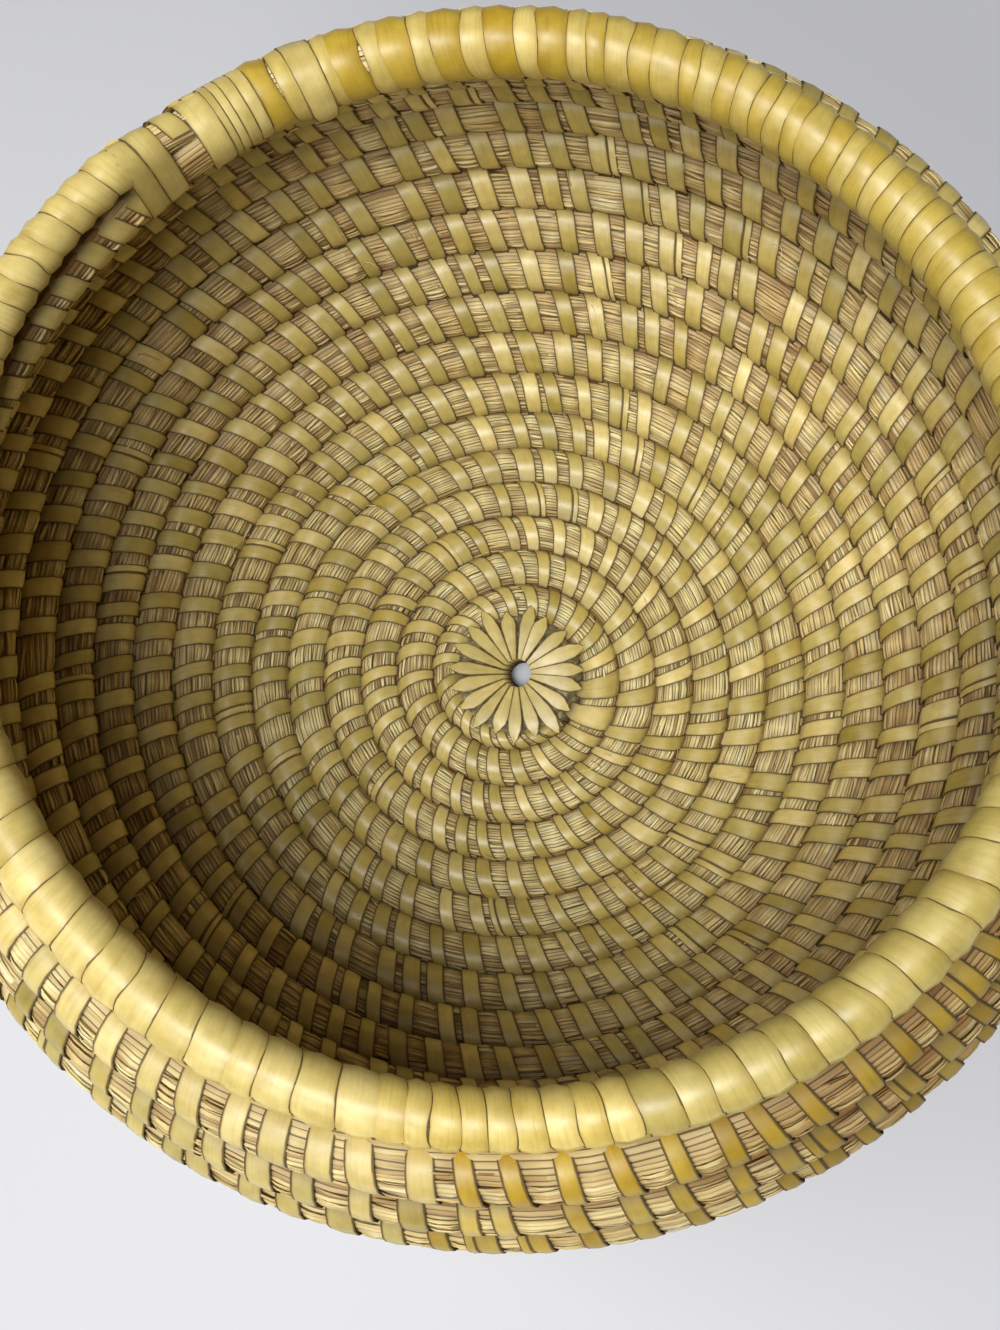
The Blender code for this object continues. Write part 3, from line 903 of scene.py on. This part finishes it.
ring_noise = add_noise(ring_tree, ring_place.outputs["Object"], 700.0, 3.0)
ring_colour = add_ramp(
    ring_tree,
    ring_noise,
    (0.35, (0.10, 0.08, 0.03)),
    (0.55, (0.24, 0.19, 0.09)),
    (0.7, (0.5, 0.4, 0.2)),
)
ring_shader = ring_tree.nodes["Principled BSDF"]
ring_tree.links.new(ring_colour, ring_shader.inputs["Base Color"])
ring_shader.inputs["Roughness"].default_value = 0.75
ring = finish_piece("start_ring_grass", ring_shape, ring_finish)
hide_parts("start_ring")

# Centre rosette
# The first palm-leaf strip, wound through the hole and over the start ring: nineteen petals that
# overlap at the hole and spread into pointed leaves.
PETALS = 19
# Distance from the middle, height and half width along a petal, in mm
PETAL_PATH = (
    (16.6, 7.35, 0.25), (15.6, 7.70, 1.00), (13.6, 8.05, 1.66), (11.0, 8.1, 1.74), (8.6, 8.0, 1.42),
    (6.4, 7.7, 1.10), (4.7, 7.4, 0.83), (3.3, 6.9, 0.60), (3.05, 5.2, 0.56), (3.2, 2.6, 0.61),
    (4.6, 0.9, 0.84), (7.0, 0.35, 1.2), (10.0, 0.25, 1.6), (12.6, 0.35, 1.5), (14.2, 0.8, 0.8),
)
HOLE_STATION = 8
HOLE_TUCK = 0.3 * MM
PETAL_OVERLAP = 0.14 * MM
UNDERSIDE = 3 * MM
TIP_START = 11 * MM
TIP_LENGTH = 4 * MM
TIP_SPREAD = (-2.2, 0.3)
# The foot of the hole lies a little to the right, so that its left side is seen in shadow
FOOT_REACH = 6 * MM
FOOT_TOP = 6.8 * MM
FOOT_HEIGHT = 1.5 * MM
FOOT_MOVE = 1.8 * MM
HOLE_RADIUS = 5 * MM
# Painted shade darkens the petals inside the hole below this height
HOLE_SHADE_TOP = 7.1 * MM
HOLE_SHADE_HEIGHT = 1 * MM
PETAL_EDGE = 0.28 * MM
# Side and rise of the five corners of a leaf strip's section: three on its face, two on its back
RIBBON_SIDE = np.array((-1.0, 0.0, 1.0, 0.86, -0.86))
RIBBON_RISE = np.array((0.25, 0.40, 0.25, -0.06, -0.06)) * MM
RIBBON_CORNERS = len(RIBBON_SIDE)
CRISP_DEGREES = 50
# A strip's dark edge line is partly its own brown edge and partly painted shadow, and painted shade
# darkens its face toward both sides
EDGE_LIMITS = (0.03, 0.2)
SIDE_SHADE_START = 0.24
SIDE_SHADE_STEEPNESS = 9.0
EDGE_DARKEST = 0.88


def make_leaf_group():
    """Palm leaf: fine lengthwise veins, soft blotches, painted side shade and a thin dark edge, partly
    painted shadow.
    """
    group, given, made = new_group(
        "palm_leaf",
        ("Across", "Float", 0.5),
        ("Along", "Float", 0.0),
        ("Tint", "Float", 0.5),
        ("Gold", "Float", 0.0),
        ("Edge", "Float", 0.08),
        ("Place", "Vector", (0.0, 0.0, 0.0)),
    )
    vein_place = combine(
        group,
        times(group, given["Across"], 9.0),
        times(group, given["Along"], 60.0),
        times(group, given["Tint"], 57.0),
    )
    veins = add_noise(group, vein_place, 1.5, 5.0)
    blotches = add_noise(group, given["Place"], 260.0, 3.0)
    green = add_ramp(
        group,
        given["Tint"],
        (0.0, (0.45, 0.36, 0.10)),
        (0.35, (0.60, 0.49, 0.155)),
        (0.7, (0.74, 0.60, 0.22)),
        (1.0, (0.92, 0.75, 0.31)),
    )
    golden = add_mix(group, given["Tint"], (0.56, 0.36, 0.02), (0.76, 0.54, 0.07))
    colour = add_mix(group, given["Gold"], green, golden)
    vein_colour = add_ramp(
        group, veins, (0.28, (0.74, 0.69, 0.56)), (0.5, (0.95, 0.94, 0.90)), (0.72, NO_TINT))
    colour = add_mix(group, 0.5, colour, vein_colour, "MULTIPLY")
    blotch_colour = add_ramp(group, blotches, (0.3, (0.76, 0.72, 0.58)), (0.6, NO_TINT))
    colour = add_mix(group, 0.8, colour, blotch_colour, "MULTIPLY")
    from_middle = add_math(group, "ABSOLUTE", minus(group, given["Across"], 0.5))
    # Painted shade darkens the face toward both sides, as on a rounded strip
    sides = add_math(group, "MAXIMUM", minus(group, from_middle, SIDE_SHADE_START), 0.0)
    sides = times(group, times(group, sides, sides), SIDE_SHADE_STEEPNESS)
    colour = add_mix(group, sides, colour, (0.60, 0.50, 0.26), "MULTIPLY")
    # Dark edge line, partly the leaf's own brown edge and partly painted shadow
    ragged = times(group, minus(group, blotches, 0.5), 0.12)
    edge = minus(group, plus(group, from_middle, ragged), 0.5)
    edge = plus(group, edge, given["Edge"])
    edge = add_math(group, "DIVIDE", edge, times(group, given["Edge"], 0.6))
    edge = add_math(group, "MINIMUM", add_math(group, "MAXIMUM", edge, 0.0), EDGE_DARKEST)
    group.links.new(add_mix(group, edge, colour, (0.09, 0.05, 0.010)), made["Colour"])
    group.links.new(veins, made["Height"])
    satin = plus(group, times(group, veins, 0.25), 0.24)
    group.links.new(plus(group, satin, times(group, edge, 0.45)), made["Roughness"])
    return group


leaf_group = make_leaf_group()


def make_leaf_finish(name, dullness, density):
    """Palm-leaf strip with a satin face, coloured by each strip's own tint and gold, with painted
    shade.
    """
    finish, tree, shader, leaf, place = start_finish(name, leaf_group)
    across, along = read_map(tree)
    tree.links.new(across, leaf.inputs["Across"])
    tree.links.new(along, leaf.inputs["Along"])
    tree.links.new(place, leaf.inputs["Place"])
    for label in ("Tint", "Gold", "Edge"):
        tree.links.new(read_value(tree, label.lower()), leaf.inputs[label])
    # Painted shade: each piece's shade values darken the leaf toward dark brown
    crease = read_value(tree, "shade")
    creased = add_mix(tree, crease, leaf.outputs["Colour"], (0.13, 0.09, 0.03), "MULTIPLY")
    tree.links.new(creased, shader.inputs["Base Color"])
    dulled = plus(tree, times(tree, crease, 0.5), dullness)
    roughness = add_math(tree, "MINIMUM", plus(tree, leaf.outputs["Roughness"], dulled), 0.9)
    tree.links.new(roughness, shader.inputs["Roughness"])
    add_relief(tree, shader, leaf.outputs["Height"], 0.35, 0.08 * MM)
    shader.inputs["IOR"].default_value = density
    return finish


leaf_finish = make_leaf_finish("palm_leaf_strip", 0.0, 1.62)


def leaf_mesh(name, unit, places, side, along, tint, gold, edge, shade):
    """A mesh of repeated strips in place, with its map and each strip's own tint and gold."""
    copies, corners = places.shape[:2]
    mesh = repeat_mesh(name, unit, copies)
    set_places(mesh, places.reshape(-1, 3))
    across, along, edge, shade = (
        np.broadcast_to(value, (copies, corners)) for value in ((side + 1) / 2, along, edge, shade))
    set_map(mesh, across.ravel(), along.ravel())
    for label, value in (("tint", tint), ("gold", gold)):
        set_value(mesh, label, np.repeat(np.asarray(value, np.float32), corners))
    set_value(mesh, "shade", shade)
    set_value(mesh, "edge", np.clip(edge, *EDGE_LIMITS))
    return mesh


petal_unit, station, corner = straight_stem(RIBBON_CORNERS, len(PETAL_PATH))
petal_radius, petal_height, petal_half = np.array(PETAL_PATH).T * MM
side = RIBBON_SIDE[corner]
rise = RIBBON_RISE[corner]
reach = petal_radius[station]
petal_size = chance.uniform(0.9, 1.1, PETALS)[:, None]
petal_turn = (np.arange(PETALS) + chance.uniform(-0.12, 0.12, PETALS)) * 2 * math.pi / PETALS
tip = np.clip((reach - TIP_START) / TIP_LENGTH, 0.0, 1.0)
reach = reach + tip * chance.uniform(*TIP_SPREAD, PETALS)[:, None] * MM
angle = petal_turn[:, None] + side * petal_half[station] * petal_size / reach
lower = petal_height[station] < UNDERSIDE
lift = np.where(lower, -rise * 0.3, rise + PETAL_OVERLAP * side)
height = petal_height[station] + lift
inward = np.where(station == HOLE_STATION, HOLE_TUCK, 0.0) * side * 0.3
foot = np.clip((FOOT_TOP - height) / FOOT_HEIGHT, 0.0, 1.0) * FOOT_MOVE
foot = np.where(reach < FOOT_REACH, foot, 0.0)
# Painted shade on the petals inside the hole
hole_shade = np.clip((HOLE_SHADE_TOP - height) / HOLE_SHADE_HEIGHT, 0.0, 1.0)
points = np.stack([
    (reach - inward) * np.cos(angle) + foot,
    (reach - inward) * np.sin(angle),
    np.broadcast_to(height, angle.shape),
], -1)
rosette_mesh = leaf_mesh(
    "palm_rosette",
    petal_unit,
    points,
    side,
    np.arange(PETALS)[:, None] * 0.1 + station * 1.5 * MM,
    chance.uniform(0.45, 0.8, PETALS),
    np.zeros(PETALS),
    PETAL_EDGE / (2 * petal_half[station]),
    np.where(reach < HOLE_RADIUS, hole_shade, 0.0),
)
rosette = finish_piece("palm_rosette", face_outward(rosette_mesh), leaf_finish, CRISP_DEGREES)
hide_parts("centre_rosette")

# Sewing strips
# Palm-leaf strips that sew each row to the one before it. Each comes up through the row before,
# crosses the inner face, goes over the bundle and down the outer face, and back through the row.
# Row step, angle, lift in mm, share of the width
STITCH_PATH = (
    (-1, 44, -1.2, 0.8), (-1, 60, -0.1, 0.88), (0, -58, 0.2, 0.95), (0, -32, 0.15, 1.0),
    (0, -8, 0.12, 1.0), (0, 16, 0.12, 1.0), (0, 40, 0.15, 1.0), (0, 64, 0.15, 1.0),
    (0, 90, 0.0, 0.95), (0, 116, 0.15, 1.0), (0, 140, 0.15, 1.0), (0, 164, 0.12, 1.0),
    (0, 188, 0.12, 1.0), (0, 212, 0.15, 1.0), (0, 238, 0.2, 0.95), (-1, 120, -0.1, 0.88),
    (-1, 136, -1.2, 0.8),
)
STRIP_EDGE = 0.42 * MM
STRIP_LOWEST = 0.05 * MM
# Painted shade on the strips: in the creases between rows, where they pass through the row before, less
# where the leaning rim leaves a crease open, and on the shaded side
STRIP_INNER_CREASE = 7.0
STRIP_OUTER_CREASE = 3.0
STRIP_CREASE_SHADE = 0.8
STRIP_DARK_SHADE = 0.4
STRIP_OPEN_CREASE = 0.4


def lay_stitches(name, turns, widths, leans, pitches, tint, gold):
    """Sewing strips round the bundle, one at each place."""
    unit, station, corner = straight_stem(RIBBON_CORNERS, len(STITCH_PATH))
    step, degrees, lift, breadth = np.array(STITCH_PATH, float).T[:, station]
    side = RIBBON_SIDE[corner]
    whole = distance_round(turns)[:, None]
    on_inside = degrees < ROW_TOP
    through = step < 0
    inner = np.where(on_inside, np.where(through, 0.0, lean_share(degrees)), 1.0)
    outer = np.where(on_inside, 0.0, np.where(through, 1.0, back_share(degrees)))
    shift = leans[:, None] * inner + (pitches - leans)[:, None] * outer
    half = widths[:, None] / 2 * breadth
    place = turns[:, None] + (side * half - shift) / whole + step
    angle = np.broadcast_to(np.radians(degrees), place.shape)
    height = lift * MM + RIBBON_RISE[corner]
    points = on_bundle(place, angle, np.broadcast_to(height, place.shape), STRIP_LOWEST)
    # Painted shade of the creases, the parts through the row before and the shaded side
    crease = np.where(np.cos(angle) < 0, STRIP_OUTER_CREASE, STRIP_INNER_CREASE)
    shade = np.abs(np.sin(angle)) ** crease
    uncovered = np.interp(place + 1, *RIM_LEANED) * STRIP_OPEN_CREASE
    shade = np.where(np.sin(angle) > 0, shade * (1 - uncovered), shade)
    shade = np.where(through, 1.0, STRIP_CREASE_SHADE * shade)
    shade = np.minimum(shade + STRIP_DARK_SHADE * painted_shade_side(place, angle), 1.0)
    along = np.arange(len(turns))[:, None] * 0.031 + station * 1.9 * MM
    mesh = leaf_mesh(name, unit, points, side, along, tint, gold, STRIP_EDGE / (2 * half), shade)
    return finish_piece(name, face_outward(mesh), leaf_finish, CRISP_DEGREES)


# The strips under the near side of the rim are gold and those below the shoulder are paler. Those of
# the last row on the near left are paler still, painted light on a row that the rim shades.
stitch_tint = np.clip(chance.normal(0.45, 0.24, len(stitch_turns)), 0.0, 1.0)
stitch_gold = np.clip(chance.normal(0.05, 0.12, len(stitch_turns)), 0.0, 1.0)
PALER_END = 15
LEFT_NEAR_LIT = (17.16, 17.52)
stitch_gold = np.where(near_upper, stitch_gold + 0.5, stitch_gold)
stitch_gold = np.where(row_gold, 1.0, np.where(some_gold, 0.8, stitch_gold))
stitch_tint = np.where(row_gold | some_gold, stitch_tint * 0.7, stitch_tint)
stitch_tint = np.where(stitch_turns < PALER_END, stitch_tint + 0.1, stitch_tint)
stitch_tint = np.where(between(stitch_turns, LEFT_NEAR_LIT), 0.6 + stitch_tint * 0.5, stitch_tint)

# Here and there a second, narrow strip lies against the first
DOUBLED_SHARE = 0.05
FIRST_DOUBLED = 1.5
DOUBLE_WIDTH = (1.3, 2.0)
doubled = (chance.random(len(stitch_turns)) < DOUBLED_SHARE) & (stitch_turns > FIRST_DOUBLED)
second_width = chance.uniform(*DOUBLE_WIDTH, len(stitch_turns)) * MM
second_turns = stitch_turns + (stitch_width + second_width) / 2 / stitch_round
second_tint = np.clip(stitch_tint + 0.2, 0.0, 1.0)
strip_values = [
    np.concatenate([first, second[doubled]])
    for first, second in (
        (stitch_turns, second_turns), (stitch_width, second_width), (stitch_lean, stitch_lean),
        (stitch_pitch, stitch_pitch), (stitch_tint, second_tint), (stitch_gold, stitch_gold),
    )
]
STITCH_GROUPS = (("strips_floor_and_lower_wall", 0.0, 11.0), ("strips_upper_wall", 11.0, 18.0))
for name, start, end in STITCH_GROUPS:
    chosen = (strip_values[0] >= start) & (strip_values[0] < end)
    strips = lay_stitches(name, *(values[chosen] for values in strip_values))

# Rim wraps
# The rim row is wound closely with palm leaf, each wrap lying over the edge of the one before.
# The strips change round the basket: gold and pale ones, olive, pale yellow, then broad cream ones.
rim_leaf_finish = make_leaf_finish("palm_leaf_rim", 0.02, 1.6)
# End of each run in degrees round the basket, two widths in mm, two tints, two golds, slant in mm
RIM_SECTORS = (
    ("rim_wrap_gold", (
        (284.5, (4.4, 3.3), (0.35, 0.8), (1.0, 0.4), 1.1),
        (292.5, (3.4, 4.2), (0.4, 0.55), (0.8, 0.5), 0.8),
    )),
    ("rim_wrap_olive", (
        (315.0, (3.1, 3.4), (0.35, 0.5), (0.7, 0.45), 0.4),
        (367.5, (3.6, 3.4), (0.4, 0.5), (0.6, 0.35), 0.3),
    )),
    ("rim_wrap_pale", (
        # These two runs are partly their own beige colour and partly painted shade, darker at the
        # bottom right far from the lamps
        (392.0, (4.6, 4.9), (0.30, 0.42), (0.05, 0.0), 0.4),
        (442.0, (5.0, 5.2), (0.32, 0.46), (0.1, 0.0), 0.4),
        (457.5, (3.9, 4.0), (0.75, 0.85), (0.55, 0.4), 0.4),
    )),
    ("rim_wrap_cream", (
        (466.5, (3.9, 3.7), (0.75, 0.85), (0.55, 0.4), 0.4),
        (492.0, (5.0, 5.3), (0.75, 0.85), (0.22, 0.12), 0.8),
        (532.5, (6.0, 6.3), (0.75, 0.85), (0.22, 0.12), 0.8),
    )),
    # The tail wraps are partly their own pale colour and partly painted light, paler where the rim's
    # left lies in shadow
    ("rim_wrap_tail", ((588.8, (3.8, 4.3), (0.8, 0.9), (0.25, 0.15), 0.3),)),
)
FIRST_WRAP = 246.6
LAST_WRAP_ROOM = 0.5
RIM_START_DEGREES = 225
WRAP_DEGREES = np.arange(-180, 181, 15)
WRAP_RISE = np.array((0.05, 0.55, 0.05, -0.12, -0.12)) * MM
WRAP_LIFT = 0.5 * MM
WRAP_OVERLAP = 1.19
WRAP_TILT = 0.13 * MM
WRAP_SWAY = 0.16
WRAP_EDGE = 0.22 * MM


def rim_turn(degrees):
    """Place along the spiral of this angle round the basket, on the rim."""
    return BODY_END + (degrees - RIM_START_DEGREES) / 360


wrap_angle = FIRST_WRAP
for name, runs in RIM_SECTORS:
    wraps = []
    for end, strip_widths, tints, golds, slant in runs:
        while wrap_angle < end - LAST_WRAP_ROOM:
            kind = len(wraps) % 2
            width = strip_widths[kind] * MM * chance.uniform(0.86, 1.14)
            turn = rim_turn(wrap_angle)
            half_turn = width / 2 / float(distance_round(turn))
            tint = tints[kind] + chance.uniform(-0.12, 0.12)
            gold = golds[kind] * chance.uniform(0.8, 1.0)
            wraps.append((turn + half_turn, width, tint, gold, slant * MM * chance.uniform(0.6, 1.4)))
            wrap_angle += half_turn * 720
    turn, width, tint, gold, slants = np.array(wraps).T
    unit, station, corner = straight_stem(RIBBON_CORNERS, len(WRAP_DEGREES))
    degrees = WRAP_DEGREES[station]
    side = RIBBON_SIDE[corner]
    half = width[:, None] / 2 * WRAP_OVERLAP
    sway = chance.normal(0.0, WRAP_SWAY, (2, len(turn), 1)) * MM
    angle = np.broadcast_to(np.radians(degrees), (len(turn), len(degrees)))
    shift = width[:, None] * degrees / 360 + slants[:, None] * np.sin(angle)
    shift = shift + sway[0] * np.sin(2 * angle) + sway[1] * np.sin(3 * angle) * side
    place = turn[:, None] + (side * half - shift) / distance_round(turn)[:, None]
    lift = WRAP_LIFT + WRAP_RISE[corner] - WRAP_TILT * side
    points = on_bundle(place, angle, np.broadcast_to(lift, place.shape))
    along = np.arange(len(turn))[:, None] * 0.05 + station * 1.5 * MM
    wrap_edge = WRAP_EDGE / (2 * half)
    rim_mesh = leaf_mesh(
        name + "_leaf", unit, points, side, along, np.clip(tint, 0.0, 1.0), gold, wrap_edge, 0.0)
    rim = finish_piece(name + "_leaf", face_outward(rim_mesh), rim_leaf_finish, CRISP_DEGREES)
    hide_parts(name)

# Joining strips
# Strips that bind the thinned tail of the rim to the row that it lies on: two broad ones and a short
# patch over the tail alone, then narrow ones up to the first gold wrap. Two of those cover only the
# outside, so that the bundle's grass shows above them.
# Row step, angle, lift in mm, share of the width
JOIN_PATH = (
    (-1, -50, -0.8, 0.7), (-1, -35, 0.1, 0.9), (-1, 0, 0.3, 1.0), (-1, 15, 0.5, 1.0),
    (-1, 28, 0.7, 1.0), (0, 12, 0.7, 1.0), (0, 45, 0.4, 1.0), (0, 90, 0.4, 1.0),
    (0, 135, 0.3, 1.0), (0, 180, 0.3, 1.0), (0, 205, 0.5, 1.0), (-1, 150, 0.3, 1.0),
    (-1, 180, 0.2, 1.0), (-1, 215, 0.1, 0.9), (-1, 232, -0.8, 0.7),
)
PATCH_PATH = (
    (0, 62, -0.6, 0.8), (0, 72, 0.45, 1.0), (0, 95, 0.6, 1.05), (0, 120, 0.6, 1.0),
    (0, 150, 0.5, 1.0), (0, 180, 0.4, 1.0), (0, 210, 0.3, 1.0), (0, 235, -0.6, 0.8),
)


def over_path(top, start=-180, end=181):
    """Round the rim with the sunken end of the tail under its upper edge, this many mm high."""
    return tuple(
        (-1, around, 0.45 + top * max(0.0, math.sin(math.radians(around))) ** 1.5, 1.0)
        for around in range(start, end, 20)
    )


# Path, place in degrees round the basket, width in mm, tint
JOINS = (
    ("joining_strip_1", ((JOIN_PATH, 230.1, 4.3, 0.6),)),
    ("joining_strip_2", ((JOIN_PATH, 232.95, 4.3, 0.7), (PATCH_PATH, 236.1, 3.8, 0.65))),
    ("joining_strip_3", (
        (over_path(2.9, 150, 291), 237.3, 2.5, 0.6), (over_path(2.6, 140, 301), 238.8, 2.5, 0.8),
        (over_path(2.2), 240.2, 4.8, 0.75), (over_path(1.8), 242.2, 1.7, 0.6),
        (over_path(1.5), 243.2, 1.9, 0.85), (over_path(1.2), 244.5, 2.5, 0.7),
        (over_path(0.8), 246.0, 2.6, 0.85),
    )),
)
JOIN_LEAN = 3.0 * MM
JOIN_LEAN_START = 0.3
JOIN_TILT = 0.1 * MM
JOIN_GOLD = 0.1
JOIN_EDGE = 0.3


def lay_joins(name, strips):
    """Single strips over the rim, each by its own path, as one piece."""
    meshes = []
    for number, (path_table, around_basket, width, tint) in enumerate(strips):
        unit, station, corner = straight_stem(RIBBON_CORNERS, len(path_table))
        step, degrees, lift, breadth = np.array(path_table, float).T[:, station]
        turn = rim_turn(around_basket) + 1
        side = RIBBON_SIDE[corner]
        lean = (station / (len(path_table) - 1) - JOIN_LEAN_START) * JOIN_LEAN
        place = turn + (side * width * MM / 2 * breadth - lean) / float(distance_round(turn)) + step
        height = lift * MM + RIBBON_RISE[corner] - JOIN_TILT * side
        points = on_bundle(place, np.radians(degrees), height)
        along = number * 0.05 + station * 2.0 * MM
        meshes.append(leaf_mesh(
            name, unit, points[None], side, along, [tint], [JOIN_GOLD], JOIN_EDGE / width, 0.0))
    return finish_piece(name, face_outward(*meshes), leaf_finish, CRISP_DEGREES)


for name, strips in JOINS:
    strip = lay_joins(name + "_leaf", strips)
    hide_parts(name)

# Loose leaf end
# One broad leaf strip that ends over the gold wraps. It comes up the outside of the rim and over it,
# and narrows to a tip that stands off the rim's inner edge.
END_PATH = (
    (-1, -12, 1.9, 0.35), (-1, 4, 1.9, 0.75), (-1, 24, 1.25, 1.0), (-1, 50, 0.95, 1.0),
    (-1, 80, 0.9, 1.0), (-1, 110, 0.9, 1.0), (-1, 140, 0.9, 1.0), (-1, 170, 0.8, 1.0),
    (-1, 200, 0.5, 0.95), (-1, 225, -0.2, 0.9),
)
leaf_end = lay_joins("loose_rim_leaf", ((END_PATH, 252.4, 4.8, 0.75),))

# Loose fibres
# A few hair-thin ends of grass that have worked loose from the bundle. Each keeps one end in its
# row and curls up off the inner face.
FIBRES = 110
FIBRE_STATIONS = 7
FIBRE_ROWS = (1.5, 17.3)
FIBRE_LIFT = 0.4 * MM
fibre_unit, station, corner = straight_stem(3, FIBRE_STATIONS)
share = station / (FIBRE_STATIONS - 1)
side = STEM_SIDE[corner]
height = np.array((-0.5, 1.0, -0.5))[corner]
start = chance.uniform(*FIBRE_ROWS, FIBRES)[:, None]
reach = chance.normal(0.0, 4.0, (FIBRES, 1)) * MM
curl = chance.normal(0.0, 2.0, (FIBRES, 1)) * MM
turn_round = chance.normal(0.0, 0.5, (FIBRES, 1))
raised = chance.uniform(0.3, 1.6, (FIBRES, 1)) * MM
half = chance.uniform(0.07, 0.13, (FIBRES, 1)) * MM * (1 - 0.6 * share)
angle = chance.uniform(-0.9, 1.1, (FIBRES, 1)) + turn_round * share + 0.35 * np.sin(share * 3.0)
turns = start + (reach * share + curl * share ** 2 + side * half) / distance_round(start)
lift = FIBRE_LIFT + raised * share ** 1.4 + height * half
mesh = repeat_mesh("loose_fibres", fibre_unit, FIBRES)
set_places(mesh, on_bundle(turns, angle + side * half / BUNDLE_RADIUS, lift).reshape(-1, 3))
number = np.arange(FIBRES)[:, None]
set_map(mesh, (number + 0.5 + 0.2 * side).ravel() / STEMS, (number * 0.2 + share * 0.01).ravel())
for label in ("shade", "wall"):
    set_value(mesh, label, np.zeros(turns.shape))
fibres = finish_piece("loose_fibres", face_outward(mesh), grass_finish)
